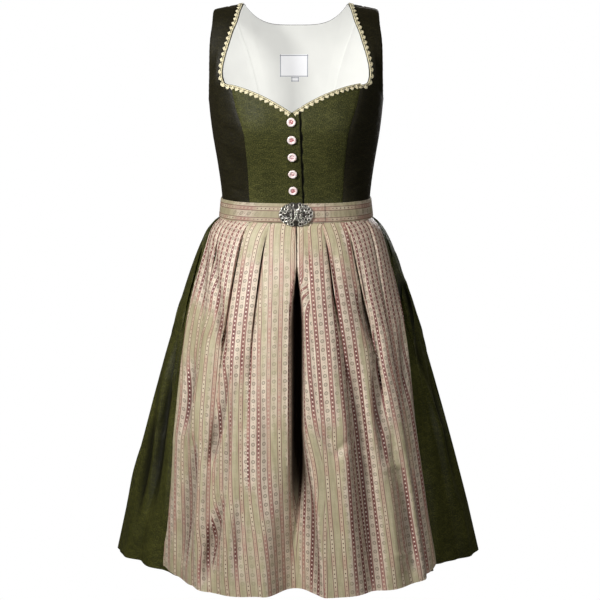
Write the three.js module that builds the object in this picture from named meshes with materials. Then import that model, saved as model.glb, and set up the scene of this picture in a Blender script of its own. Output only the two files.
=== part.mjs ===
// A dirndl: a sleeveless bodice with princess seams and a heart-shaped neckline, a pleated
// knee-length skirt, and a striped apron on a waistband that a two-part clasp closes.
// It keeps the hollow form in which it is worn. Millimetres, +Z up, the front faces -Y, and
// +X is the wearer's left. The origin is midway between the shoulders, where the straps rest.
import * as THREE from "three";

// ---------------------------------------------------------------- driving sizes
const BODICE_WALL = 1.4; // jacquard on its interlining
const SKIRT_WALL = 1.2;
const APRON_WALL = 1.0;
const LINING_WALL = 1.0;
const BAND_WALL = 1.6; // folded double
const SEAM_GAP = 0.3; // between pieces that are sewn together
const LAYER_GAP = 0.6; // between cloth and the cloth that lies on it
const WAIST_SEAM_Z = -360;
const HEM_Z = -1004;
const BAND_TOP_Z = -342;
const BAND_BOTTOM_Z = -376;
const DEG = Math.PI / 180;

const mix = (a, b, t) => a + (b - a) * t;
const clamp = (x, low, high) => Math.min(high, Math.max(low, x));
const smooth = (t) => {
  const x = clamp(t, 0, 1);
  return x * x * (3 - 2 * x);
};
const count = (n) => Array.from({ length: n + 1 }, (_, i) => i);

// Cubic through evenly numbered rows: column `key` of `table` at the real row number `at`.
function column(table, key, at) {
  const last = table.length - 1;
  const i = clamp(Math.floor(at), 0, last - 1);
  const t = at - i;
  const value = (k) => table[clamp(k, 0, last)][key];
  const [before, low, high, after] = [value(i - 1), value(i), value(i + 1), value(i + 2)];
  const m0 = i === 0 ? high - low : (high - before) / 2;
  const m1 = i === last - 1 ? high - low : (after - low) / 2;
  const t2 = t * t;
  const t3 = t2 * t;
  const ends = (2 * t3 - 3 * t2 + 1) * low + (3 * t2 - 2 * t3) * high;
  return ends + (t3 - 2 * t2 + t) * m0 + (t3 - t2) * m1;
}

const rows = (names, ...lines) =>
  lines.map((line) => Object.fromEntries(names.map((name, i) => [name, line[i]])));

// ---------------------------------------------------------------- the form of the bodice
// Level sections from the shoulder seam down to the waist. Each is a superellipse with its
// own depth in front and behind; `droop` is the share of the shoulders' slope.
const TORSO = rows(
  ["z", "half", "front", "back", "centre", "droop"],
  [0, 187, 0.3, 0.3, 8, 1],
  [-3, 187, 16, 17, 8, 1],
  [-11, 186, 31, 32, 7, 0.95],
  [-26, 184, 49, 51, 6, 0.85],
  [-46, 181, 66, 69, 5, 0.7],
  [-70, 176, 82, 86, 3, 0.5],
  [-98, 169, 98, 98, 1, 0.25],
  [-126, 162, 112, 104, 0, 0.08],
  [-150, 157.5, 122, 107, 0, 0],
  [-172, 154.5, 128, 108, 0, 0],
  [-194, 152.5, 131, 108, 0, 0],
  [-215, 150, 131, 107, 0, 0],
  [-236, 147, 127, 105, 0, 0],
  [-258, 143.5, 121, 103, 0, 0],
  [-279, 140, 114, 100, 0, 0],
  [-300, 137, 107, 97, 0, 0],
  [-322, 134.3, 101, 95, 0, 0],
  [-342, 132.4, 98, 93.5, 0, 0],
  [WAIST_SEAM_Z, 132, 97.5, 93, 0, 0],
);
const TORSO_SQUARE = 2.3;
const SHOULDER = { inner: 92, outer: 144, slope: 0.000805 };
const CUP = { x: 74, z: -207, wide: 44, high: 50, deep: 7 };

// A superellipse section: angle 0 is the front centre, positive towards +X.
function ring(angle, half, front, back, square) {
  const s = Math.sin(angle);
  const c = Math.cos(angle);
  const power = 2 / square;
  return [
    half * Math.sign(s) * Math.abs(s) ** power,
    (c >= 0 ? -front : back) * Math.abs(c) ** power,
  ];
}

function torso(angle, p) {
  const get = (key) => column(TORSO, key, p);
  const [x, across] = ring(angle, get("half"), get("front"), get("back"), TORSO_SQUARE);
  const rise = SHOULDER.slope * (SHOULDER.inner ** 2 - x * x);
  const z = get("z") + get("droop") * rise;
  let y = get("centre") + across;
  if (Math.cos(angle) > 0) {
    const sideways = (Math.abs(x) - CUP.x) / CUP.wide;
    const upward = (z - CUP.z) / CUP.high;
    y -= CUP.deep * Math.exp(-sideways * sideways - upward * upward);
  }
  return new THREE.Vector3(x, y, z);
}

// The row number at which `miss` changes sign, from negative at the waist to positive at the top.
function solveRow(miss) {
  let low = 0;
  let high = TORSO.length - 1;
  for (let i = 0; i < 40; i += 1) {
    const middle = (low + high) / 2;
    if (miss(middle) > 0) low = middle;
    else high = middle;
  }
  return (low + high) / 2;
}

// The torso's (angle, row) for a point of the front or back seen square on, at x and z.
function seenAt(x, z, isBack = false) {
  const angleAt = (p) => {
    const share = clamp(Math.abs(x) / column(TORSO, "half", p), 0, 1);
    const front = Math.asin(share ** (TORSO_SQUARE / 2));
    return Math.sign(x || 1) * (isBack ? Math.PI - front : front);
  };
  const p = solveRow((row) => torso(angleAt(row), row).z - z);
  return [angleAt(p), p];
}

const atAngle = (degrees, z) => {
  const angle = degrees * DEG;
  return [angle, solveRow((row) => torso(angle, row).z - z)];
};

// `steps` + 1 points, equally far apart along a smooth line through domain points.
function trace(points, steps) {
  const line = new THREE.CatmullRomCurve3(
    points.map(([angle, p]) => new THREE.Vector3(angle, p / 20, 0)),
    false,
    "centripetal",
  );
  const fine = line.getPoints(24 * (points.length - 1)).map((v) => [v.x, v.y * 20]);
  const places = fine.map(([angle, p]) => torso(angle, p));
  const run = [0];
  for (let i = 1; i < places.length; i += 1) {
    run.push(run[i - 1] + places[i].distanceTo(places[i - 1]));
  }
  return count(steps).map((k) => {
    const want = (run.at(-1) * k) / steps;
    const i = clamp(run.findIndex((r) => r >= want), 1, run.length - 1);
    const t = clamp((want - run[i - 1]) / (run[i] - run[i - 1]), 0, 1);
    return [mix(fine[i - 1][0], fine[i][0], t), mix(fine[i - 1][1], fine[i][1], t)];
  });
}

// ---------------------------------------------------------------- seams and edges, on the wearer's left
const frontSeam = (table, steps) => trace(table.map(([x, z]) => seenAt(x, z)), steps);
const BOTTOM = TORSO.length - 1;
const V_POINT = { x: -7, z: -183 }; // where the neckline is deepest
const LAP = { top: 5, bottom: 12, under: 20 }; // x of its edge, and how far the left front runs under
const PRINCESS = frontSeam(
  [[81, -360], [82, -335], [84, -290], [87, -250], [90, -222], [96, -200], [105, -172], [113, -137]],
  8,
);
const NECK_UPPER = frontSeam(
  [
    [113, -137], [120, -136], [124.5, -132], [126.8, -123], [126, -108],
    [122.8, -93], [116, -70], [109, -48], [101, -28], [94, -6],
  ],
  8,
);
NECK_UPPER[8] = [seenAt(SHOULDER.inner, -0.001)[0], 0];
const shoulderAngle = (x) => Math.asin((x / TORSO[0].half) ** (TORSO_SQUARE / 2));
const ARMHOLE_LOWER = rows(
  ["degrees", "z"],
  [90, -170],
  [81, -161],
  [73, -140],
  [65.5, -114],
  [59.5, -88],
  [54.5, -60],
  [50.5, -34],
);
const SIDE_SEAM = count(8).map((i) => [90 * DEG, mix(BOTTOM, atAngle(90, -170)[1], i / 8)]);
const ARMHOLE = trace(
  [...ARMHOLE_LOWER.map(({ degrees, z }) => atAngle(degrees, z)), [shoulderAngle(SHOULDER.outer), 0]],
  8,
);
const SHOULDER_SEAM = count(4).map((i) => [
  shoulderAngle(mix(SHOULDER.inner, SHOULDER.outer, i / 4)),
  0,
]);
const toBack = (line) => line.map(([angle, p]) => [Math.PI - angle, p]);
const ARMHOLE_BACK = toBack(ARMHOLE);
const BACK_SEAM = trace(
  [
    [seenAt(46, WAIST_SEAM_Z, true)[0], BOTTOM],
    seenAt(49, -300, true),
    seenAt(58, -230, true),
    seenAt(71, -160, true),
    seenAt(87, -95, true),
    seenAt(103, -45, true),
    [Math.PI - shoulderAngle(mix(SHOULDER.inner, SHOULDER.outer, 0.5)), 0],
  ],
  SIDE_SEAM.length + ARMHOLE.length - 2,
);

const mirror = (line) => line.map(([angle, p]) => [-angle, p]);
const neckZ = (x) => {
  const out = Math.abs(x - V_POINT.x);
  return V_POINT.z + 0.68 * out - 0.0023 * out * out;
};

// ---------------------------------------------------------------- cloth from a grid of surface points
// A closed wall from a grid of places on a surface. place(u, v) gives the point; the wall's
// outer face is `lift` outside it and its inner face is `wall` further in.
function clothWall(name, colour, grid, place, { wall, lift = () => 0, edges = {}, roughness = 0.7 }) {
  const step = 1e-3;
  const outer = [];
  const inner = [];
  for (const line of grid) {
    const [outerLine, innerLine] = [[], []];
    for (const [u, v] of line) {
      const along = place(u + step, v).sub(place(u - step, v));
      const [low, high] = [Math.max(0, v - 10 * step), v + 10 * step];
      const down = place(u, high).sub(place(u, low));
      const normal = new THREE.Vector3().crossVectors(down, along).normalize();
      const top = place(u, v).addScaledVector(normal, lift(u, v));
      outerLine.push(top);
      innerLine.push(top.clone().addScaledVector(normal, -wall));
    }
    outer.push(outerLine);
    inner.push(innerLine);
  }
  for (const side of [outer, inner]) drawBack(side, edges);
  const base = grid.map((line) => line.map(([u, v]) => place(u, v)));
  return solid(name, colour, outer, inner, { roughness, base });
}

// Draws the named edges of a grid back towards its middle, so that sewn pieces stay apart.
function drawBack(points, { left = 0, right = 0, bottom = 0, top = 0 }) {
  const pull = (edge, next, by) => {
    if (by) edge.add(next.clone().sub(edge).setLength(by));
  };
  const last = points.length - 1;
  for (const line of points) {
    pull(line[0], line[1], left);
    pull(line.at(-1), line.at(-2), right);
  }
  points[0].forEach((point, i) => pull(point, points[1][i], bottom));
  points[last].forEach((point, i) => pull(point, points[last - 1][i], top));
}

// Joins an outer and an inner grid into one closed body, with its rims. Each cell is split along
// its shorter diagonal on `base`, so that layers made from the same points stay parallel.
function solid(name, colour, outer, inner, { roughness = 0.7, metalness = 0, base = outer } = {}) {
  const [high, wide] = [outer.length, outer[0].length];
  const positions = [...outer.flat(), ...inner.flat()].flatMap((v) => [v.x, v.y, v.z]);
  const at = (layer, i, j) => layer * high * wide + i * wide + j;
  const faces = [];
  const quad = (a, b, c, d) => faces.push(a, b, c, a, c, d);
  const turned = (a, b, c, d) => faces.push(a, b, d, b, c, d);
  for (let i = 0; i + 1 < high; i += 1) {
    for (let j = 0; j + 1 < wide; j += 1) {
      const rising = base[i][j].distanceTo(base[i + 1][j + 1]);
      const falling = base[i][j + 1].distanceTo(base[i + 1][j]);
      const split = rising <= falling ? quad : turned;
      split(at(0, i, j), at(0, i, j + 1), at(0, i + 1, j + 1), at(0, i + 1, j));
      split(at(1, i, j), at(1, i + 1, j), at(1, i + 1, j + 1), at(1, i, j + 1));
    }
  }
  for (let j = 0; j + 1 < wide; j += 1) {
    quad(at(0, 0, j), at(1, 0, j), at(1, 0, j + 1), at(0, 0, j + 1));
    quad(at(0, high - 1, j), at(0, high - 1, j + 1), at(1, high - 1, j + 1), at(1, high - 1, j));
  }
  for (let i = 0; i + 1 < high; i += 1) {
    quad(at(0, i, 0), at(0, i + 1, 0), at(1, i + 1, 0), at(1, i, 0));
    quad(at(0, i, wide - 1), at(1, i, wide - 1), at(1, i + 1, wide - 1), at(0, i + 1, wide - 1));
  }
  const geometry = new THREE.BufferGeometry();
  geometry.setAttribute("position", new THREE.Float32BufferAttribute(positions, 3));
  geometry.setIndex(faces);
  facesOut(geometry);
  const material = new THREE.MeshStandardMaterial({ color: colour, roughness, metalness });
  const mesh = new THREE.Mesh(geometry, material);
  mesh.name = name;
  return mesh;
}

// Turns every face round if the closed body was wound inwards.
function facesOut(geometry) {
  const position = geometry.getAttribute("position");
  const index = geometry.getIndex().array;
  const [a, b, c] = [new THREE.Vector3(), new THREE.Vector3(), new THREE.Vector3()];
  let volume = 0;
  for (let i = 0; i < index.length; i += 3) {
    a.fromBufferAttribute(position, index[i]);
    b.fromBufferAttribute(position, index[i + 1]);
    c.fromBufferAttribute(position, index[i + 2]);
    volume += a.dot(b.cross(c));
  }
  if (volume > 0) return;
  for (let i = 0; i < index.length; i += 3) {
    [index[i + 1], index[i + 2]] = [index[i + 2], index[i + 1]];
  }
}

// A grid between four edges, each a line of domain points: rows run from left to right.
function panelGrid(bottom, top, left, right) {
  const [wide, high] = [bottom.length - 1, left.length - 1];
  const blend = (k, i, j) => {
    const [u, v] = [j / wide, i / high];
    const corners =
      mix(mix(bottom[0][k], bottom[wide][k], u), mix(top[0][k], top[wide][k], u), v);
    return mix(bottom[j][k], top[j][k], v) + mix(left[i][k], right[i][k], u) - corners;
  };
  return count(high).map((i) => count(wide).map((j) => [blend(0, i, j), blend(1, i, j)]));
}

// The same between two seams that climb all the way: each column keeps its share of the width
// between them, down from its own point of the top edge.
function fanGrid(top, left, right) {
  const angleAt = (line, p) => {
    const i = clamp(line.findIndex(([, row]) => row <= p), 1, line.length - 1);
    const t = (p - line[i - 1][1]) / (line[i][1] - line[i - 1][1]);
    return mix(line[i - 1][0], line[i][0], t);
  };
  const columns = top.map(([angle, p]) => {
    const from = angleAt(left, p);
    return [(angle - from) / (angleAt(right, p) - from), p];
  });
  return left.map(([, row]) =>
    columns.map(([share, topRow]) => {
      const p = mix(BOTTOM, topRow, 1 - row / BOTTOM);
      return [mix(angleAt(left, p), angleAt(right, p), share), p];
    }),
  );
}

const between = (from, to, steps) =>
  count(steps).map((i) => [mix(from[0], to[0], i / steps), mix(from[1], to[1], i / steps)]);

const OLIVE = 0x3f4424;
const part = new THREE.Group();

// ---------------------------------------------------------------- bodice fronts
// The right front laps over the left one at the centre, and the left one runs on under it.
const LAP_RISE = { from: 1.5, to: 8 }; // where the left front comes out to full height past the lap
function centreFront(name, side) {
  const isOver = side < 0;
  const princess = isOver ? mirror(PRINCESS) : PRINCESS;
  const neckTop = torso(...princess.at(-1));
  // Columns at fixed distances from the lap's edge, then evenly on to the seam.
  const fixed = isOver ? [0] : [-LAP.under, LAP_RISE.from, LAP_RISE.to];
  const steps = isOver ? 8 : 5;
  const grid = princess.map((seam, i) => {
    const v = i / (princess.length - 1);
    const edgeX = mix(LAP.bottom, LAP.top, v);
    const edgeZ = mix(WAIST_SEAM_Z, neckZ(LAP.top), v);
    const seamPlace = torso(...seam);
    const even = count(steps - 1)
      .slice(1)
      .map((k) => mix(edgeX + fixed.at(-1), seamPlace.x, k / steps));
    const line = [...fixed.map((by) => edgeX + by), ...even].map((x) => {
      if (i === 0) return [seenAt(x, WAIST_SEAM_Z + 0.01)[0], BOTTOM];
      const share = (x - edgeX) / (seamPlace.x - edgeX);
      const topX = mix(LAP.top, neckTop.x, share);
      const bend = neckZ(topX) - mix(neckZ(LAP.top), neckTop.z, share);
      return seenAt(x, mix(edgeZ, seamPlace.z, share) + v * bend);
    });
    return [...line, seam];
  });
  const sink = BODICE_WALL + LAYER_GAP + 0.2;
  const lift = (angle, p) => {
    if (isOver) return 0;
    const place = torso(angle, p);
    const up = clamp((place.z - WAIST_SEAM_Z) / (neckZ(LAP.top) - WAIST_SEAM_Z), 0, 1);
    const past = place.x - mix(LAP.bottom, LAP.top, up);
    return -sink * smooth((LAP_RISE.to - past) / (LAP_RISE.to - LAP_RISE.from));
  };
  const edges = { right: SEAM_GAP / 2, bottom: SEAM_GAP / 2 };
  part.add(clothWall(name, OLIVE, grid, torso, { wall: BODICE_WALL, lift, edges }));
}
centreFront("front_right", -1);
centreFront("front_left", 1);

function sideFront(name, side) {
  const turn = side < 0 ? mirror : (line) => line;
  const left = turn([...PRINCESS, ...NECK_UPPER.slice(1)]);
  const right = turn([...SIDE_SEAM, ...ARMHOLE.slice(1)]);
  const waist = between(left[0], right[0], 4);
  const grid = panelGrid(waist, turn(SHOULDER_SEAM), left, right);
  const half = SEAM_GAP / 2;
  const edges = { left: half, right: half, bottom: half, top: half };
  part.add(clothWall(name, OLIVE, grid, torso, { wall: BODICE_WALL, edges }));
}
sideFront("side_front_right", -1);
sideFront("side_front_left", 1);

// ---------------------------------------------------------------- bodice backs and their lining
// The pale lining shows inside the back, so each back panel carries its own, from its own points.
const IVORY = 0xe9e8e2;
const LINING_LIFT = -(BODICE_WALL + LAYER_GAP);
function linedPanel(name, grid, edges) {
  part.add(clothWall(name, OLIVE, grid, torso, { wall: BODICE_WALL, edges }));
  const inside = { wall: LINING_WALL, lift: () => LINING_LIFT, edges: { ...edges, bottom: 1.5 } };
  part.add(clothWall(`${name}_lining`, IVORY, grid, torso, inside));
}

function sideBack(name, side) {
  const turn = side < 0 ? mirror : (line) => line;
  const left = turn([...SIDE_SEAM, ...ARMHOLE_BACK.slice(1)]);
  const right = turn(BACK_SEAM);
  const top = between(left.at(-1), right.at(-1), 4);
  const waist = between(left[0], right[0], 4);
  const half = SEAM_GAP / 2;
  const edges = { left: half, right: half, bottom: half, top: half };
  linedPanel(name, panelGrid(waist, top, left, right), edges);
}
sideBack("side_back_right", -1);
sideBack("side_back_left", 1);

// The centre back's top edge runs in over one shoulder, down round the neck and out again.
const BACK_NECK = { z: -38, power: 3.8 };
const farSide = (line) => line.map(([angle, p]) => [2 * Math.PI - angle, p]);
function backTop(steps) {
  const shoulder = toBack(SHOULDER_SEAM.slice(0, 3)).reverse();
  const neck = count(steps).slice(1, -1).map((i) => {
    const share = Math.cos((Math.PI * i) / steps);
    const z = BACK_NECK.z * (1 - Math.abs(share) ** BACK_NECK.power);
    const [angle, p] = seenAt(share * SHOULDER.inner, z, true);
    return [angle < 0 ? angle + 2 * Math.PI : angle, p];
  });
  return [...shoulder, ...neck, ...farSide(shoulder).reverse()];
}
{
  const top = backTop(9);
  const half = SEAM_GAP / 2;
  const edges = { left: half, right: half, bottom: half, top: half };
  linedPanel("back", fanGrid(top, BACK_SEAM, farSide(BACK_SEAM)), edges);
}

// A patch that lies on the inside of the back between two heights and two x values.
const LABEL_LIFT = LINING_LIFT - LINING_WALL - LAYER_GAP - 0.3; // clear of the lining's flat facets
const WHITE = 0xf3f3f3;
function insidePatch(name, { left, right, low, high }, [across, up]) {
  const grid = count(up).map((i) =>
    count(across).map((j) => {
      const x = mix(right, left, j / across);
      const [angle, p] = seenAt(x || 0.01, mix(low, high, i / up), true);
      return [angle < 0 ? angle + 2 * Math.PI : angle, p];
    }),
  );
  part.add(clothWall(name, WHITE, grid, torso, { wall: 1, lift: () => LABEL_LIFT }));
}
insidePatch("label", { left: -30, right: 22, low: -132, high: -91 }, [6, 3]);
insidePatch("size_tab", { left: -9, right: 5, low: -141, high: -132.6 }, [2, 1]);

// ---------------------------------------------------------------- skirt and apron
// Level sections of the skirt's outermost folds, from the waist seam to the hem.
const SKIRT = rows(
  ["z", "half", "front", "back", "square"],
  [WAIST_SEAM_Z - SEAM_GAP, 132.4, 97.8, 93.4, 2.3],
  [BAND_BOTTOM_Z - 1.2, 136.4, 101.6, 98.8, 2.3],
  [-386, 147.5, 105.5, 110, 2.25],
  [-404, 161, 114, 124, 2.18],
  [-440, 178, 129, 141, 2.08],
  [-500, 200, 150, 160, 2],
  [-600, 232, 173, 184, 2],
  [-740, 273, 204, 212, 2],
  [-880, 311, 233, 235, 2],
  [HEM_Z, 341, 257, 252, 2],
);

// The pleat lines, in order round the waist. Each has its angle from the front centre at the
// waist, at the hip and at the hem, the depth of its valley at the hip and at the hem, the depth
// at the hem of the crest that follows it, the share of the way to the next line that its valley
// opens to at the hem, and how far the hem rides up there. The apron's edges and the seams at the
// sides and the centre back are lines too.
const MID_DOWN = 0.54; // where the hip column holds, as the square root of the way down
const WAIST_DEEP = 1.2; // every valley's depth at the waist
const LINES = rows(
  ["name", "waist", "hip", "hem", "deepHip", "deepHem", "crestHem", "open", "rise"],
  ["side_right", -90, -90, -90, 3, 12, 19, 0.5, 0],
  ["side_fold_right", -87, -72, -68.5, 9, 39, 34, 0.5, 6],
  ["apron_right", -83, -64, -51.5, 5, 44, 33, 0.5, 6],
  ["edge_fold_right", -62, -50, -33, 5, 13, 3, 0.5, 4],
  ["outer_pleat_right", -32, -36.5, -25.5, 13, 9, 0, 0.5, -2],
  ["inner_pleat_right", -14, -21.5, -11.3, 11, 6, 0, 0.5, -1],
  ["centre_pleat", 0, 0.5, 0, 34, 52, 0, 0.87, 0],
  ["small_fold_left", 8, 8, 10.5, 1, 1, 0, 0.5, -1],
  ["inner_pleat_left", 16, 22, 23.7, 13, 12, 2, 0.5, 1],
  ["outer_pleat_left", 35, 38, 38, 11, 10, 7, 0.5, 5],
  ["edge_fold_left", 64, 50, 46, 6, 24, 26, 0.5, 10],
  ["apron_left", 83, 62.5, 55.5, 5, 60, 48, 0.5, 7],
  ["side_fold_left", 88, 72, 73, 9, 36, 13, 0.5, 3],
  ["side_left", 90, 90, 90, 1, 1, 2, 0.5, 2],
  ["back_1", 101, 101, 101, 12, 27, 3, 0.5, 0],
  ["back_2", 114, 114, 113, 15, 24, 0, 0.5, 0],
  ["back_3", 127, 126, 126, 13, 32, 4, 0.5, 0],
  ["back_4", 139, 140, 140, 16, 26, 0, 0.5, 0],
  ["back_5", 153, 153, 153, 14, 34, 3, 0.5, 0],
  ["back_6", 166, 167, 167, 16, 26, 0, 0.5, 0],
  ["centre_back", 180, 180, 180, 14, 32, 5, 0.5, 0],
  ["back_7", 191, 192, 192, 15, 26, 0, 0.5, 0],
  ["back_8", 202, 203, 203, 15, 32, 3, 0.5, 0],
  ["back_9", 213, 213, 214, 14, 27, 0, 0.5, 0],
  ["back_10", 225, 225, 225, 16, 33, 4, 0.5, 0],
  ["back_11", 236, 236, 237, 13, 25, 2, 0.5, 0],
  ["back_12", 248, 249, 249, 15, 32, 4, 0.5, 0],
  ["back_13", 260, 261, 261, 12, 26, 5, 0.5, 0],
  ["side_right_again", 270, 270, 270, 3, 12, 19, 0.5, 0],
);
const lineAt = (name) => LINES.findIndex((line) => line.name === name);
const lastRow = SKIRT.length - 1;

// The parabola through a value at the waist, at the hip and at the hem.
function threeWay(waist, hip, hem, down) {
  const rise = hem - waist;
  const bend = (hip - waist - MID_DOWN * rise) / (MID_DOWN * MID_DOWN - MID_DOWN);
  return waist + (rise - bend) * down + bend * down * down;
}

// One side of a valley: 1 on its line, falling to 0 at `wide` of the way to the next line. A wide
// one has a flat floor.
const valley = (away, wide) => {
  const t = clamp(away / wide, 0, 1);
  return 0.5 + 0.5 * Math.cos(Math.PI * t ** (0.85 + 1.3 * Math.max(0, wide - 0.5)));
};

// The skirt's surface. u is a pleat line's number and v a row of SKIRT; both may be fractions.
function skirt(u, v) {
  const get = (key) => column(SKIRT, key, v);
  const z = get("z");
  const down = Math.sqrt(clamp((z - BAND_BOTTOM_Z) / (HEM_Z - BAND_BOTTOM_Z), 0, 1));
  const first = clamp(Math.floor(u), 0, LINES.length - 2);
  const share = u - first;
  const pair = [LINES[first], LINES[first + 1]];
  const angles = pair.map((line) => threeWay(line.waist, line.hip, line.hem, down));
  const deep = pair.map((line) => Math.max(0, threeWay(WAIST_DEEP, line.deepHip, line.deepHem, down)));
  const underBand = smooth((BAND_BOTTOM_Z + 12 - z) / 24); // no folds where the waistband holds it
  const wide = pair.map((line) => mix(0.3, line.open, down));
  const crest = threeWay(0, 0.2 * pair[0].crestHem, pair[0].crestHem, down);
  const sink =
    underBand *
    (crest +
      (deep[0] - crest) * valley(share, wide[0]) +
      (deep[1] - crest) * valley(1 - share, wide[1]));
  const angle = mix(angles[0], angles[1], share) * DEG;
  const [half, front, back, square] = ["half", "front", "back", "square"].map(get);
  const [x, y] = ring(angle, half, front, back, square);
  const depth = Math.cos(angle) >= 0 ? front : back;
  const out = new THREE.Vector3(x / half ** 2, y / depth ** 2, 0).normalize();
  const rise = mix(pair[0].rise, pair[1].rise, share) * smooth(v - lastRow + 1);
  return new THREE.Vector3(x, y, z + rise).addScaledVector(out, -sink);
}

const SHARES = [0, 0.16, 0.38, 0.62, 0.84];
const lineColumns = (from, to) => {
  const made = [];
  for (let line = from; line < to; line += 1) made.push(...SHARES.map((share) => line + share));
  return [...made, to];
};
const skirtGrid = (from, to, topRow) =>
  count(lastRow - Math.floor(topRow)).map((i) =>
    lineColumns(from, to).map((u) => [u, Math.max(topRow, lastRow - i)]),
  );

function skirtPanel(name, from, to) {
  const edges = { left: SEAM_GAP / 2, right: SEAM_GAP / 2 };
  part.add(clothWall(name, OLIVE, skirtGrid(from, to, 0), skirt, { wall: SKIRT_WALL, edges }));
}
skirtPanel("skirt_front", lineAt("side_right"), lineAt("side_left"));
skirtPanel("skirt_back_left", lineAt("side_left"), lineAt("centre_back"));
skirtPanel("skirt_back_right", lineAt("centre_back"), lineAt("side_right_again"));

// The apron hangs on the skirt, from the band's lower edge; its corners ride up a little.
const APRON_EDGE = { from: lineAt("apron_right"), to: lineAt("apron_left"), top: 1 };
const CORNER_RISE = { right: 9, left: 30 };
{
  const lift = () => LAYER_GAP + APRON_WALL;
  const grid = skirtGrid(APRON_EDGE.from, APRON_EDGE.to, APRON_EDGE.top);
  const place = (u, v) => {
    const point = skirt(u, v);
    const [fromRight, fromLeft] = [u - APRON_EDGE.from, APRON_EDGE.to - u];
    const rise =
      CORNER_RISE.right * Math.exp(-4 * fromRight * fromRight) +
      CORNER_RISE.left * Math.exp(-4 * fromLeft * fromLeft);
    point.z += rise * smooth(v - lastRow + 1);
    return point;
  };
  const edges = { left: 0.5, right: 0.5 };
  part.add(clothWall("apron", 0xb7a98b, grid, place, { wall: APRON_WALL, lift, edges }));
}

// ---------------------------------------------------------------- waistband and its loops
// The band's outer face, at an angle and a share of its height from the bottom.
const BAND = {
  top: { half: 134.8, front: 100.4, back: 96 },
  bottom: { half: 138.5, front: 103.9, back: 100.9 },
};
function band(angle, share) {
  const size = (key) => mix(BAND.bottom[key], BAND.top[key], share);
  const [x, y] = ring(angle, size("half"), size("front"), size("back"), TORSO_SQUARE);
  return new THREE.Vector3(x, y, mix(BAND_BOTTOM_Z, BAND_TOP_Z, share));
}
const bandPlace = (angle, down) => band(angle, 1 - down);
const BAND_COLOUR = 0xb5a88a;
{
  const open = 0.5 * DEG; // its ends meet behind the clasp
  const steps = 52;
  const grid = count(2).map((i) =>
    count(steps).map((j) => [mix(open, 2 * Math.PI - open, j / steps), 1 - i / 2]),
  );
  part.add(clothWall("apron_band", BAND_COLOUR, grid, bandPlace, { wall: BAND_WALL }));
}

// A folded loop on each end of the band holds the clasp's bar.
const LOOP = { near: 16, far: 49, wall: 1.2 };
const bandAngle = (x) => Math.sign(x) * Math.asin((Math.abs(x) / BAND.top.half) ** (TORSO_SQUARE / 2));
function loop(name, side) {
  const grid = count(2).map((i) =>
    count(4).map((j) => [bandAngle(side * mix(LOOP.near, LOOP.far, j / 4)), mix(0.98, 0.02, i / 2)]),
  );
  const lift = () => LOOP.wall + SEAM_GAP;
  part.add(clothWall(name, BAND_COLOUR, grid, bandPlace, { wall: LOOP.wall, lift }));
}
loop("loop_right", -1);
loop("loop_left", 1);

// ---------------------------------------------------------------- clasp
// Each half is a cast, pierced-looking boss: a scalloped half oval with scrolls in relief.
const CLASP = { half: 29.5, tall: 42, base: 1.6, dome: 3.6, relief: 0.8, z: -360.5, split: 0.3, lobes: 8 };
function claspHalf(name, side) {
  const lean = (BAND.bottom.front - BAND.top.front) / (BAND_TOP_Z - BAND_BOTTOM_Z);
  const seat = BAND.top.front + LOOP.wall + 2 * SEAM_GAP + 0.15;
  const seatAt = (z) => -(seat + lean * (BAND_TOP_Z - z));
  const [spokes, rings] = [32, 6];
  const outer = [];
  const back = [];
  for (const i of count(rings)) {
    const r = mix(0.12, 1, i / rings);
    const [outerLine, backLine] = [[], []];
    for (const j of count(spokes)) {
      const turn = mix(-90, 90, j / spokes) * DEG;
      const lobe = 1 + 0.045 * Math.cos(CLASP.lobes * turn) * r;
      const x = side * (CLASP.split / 2 + CLASP.half * r * lobe * Math.cos(turn));
      const z = CLASP.z + (CLASP.tall / 2) * r * lobe * Math.sin(turn);
      const scroll = CLASP.relief * Math.cos(CLASP.lobes * turn) * Math.sin(2 * Math.PI * r);
      const rise = CLASP.base + CLASP.dome * (1 - r * r) + scroll;
      outerLine.push(new THREE.Vector3(x, seatAt(z) - rise, z));
      backLine.push(new THREE.Vector3(x, seatAt(z), z));
    }
    outer.push(outerLine);
    back.push(backLine);
  }
  part.add(solid(name, 0x8d8880, outer, back, { roughness: 0.35, metalness: 1 }));
}
claspHalf("clasp_right", -1);
claspHalf("clasp_left", 1);

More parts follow.
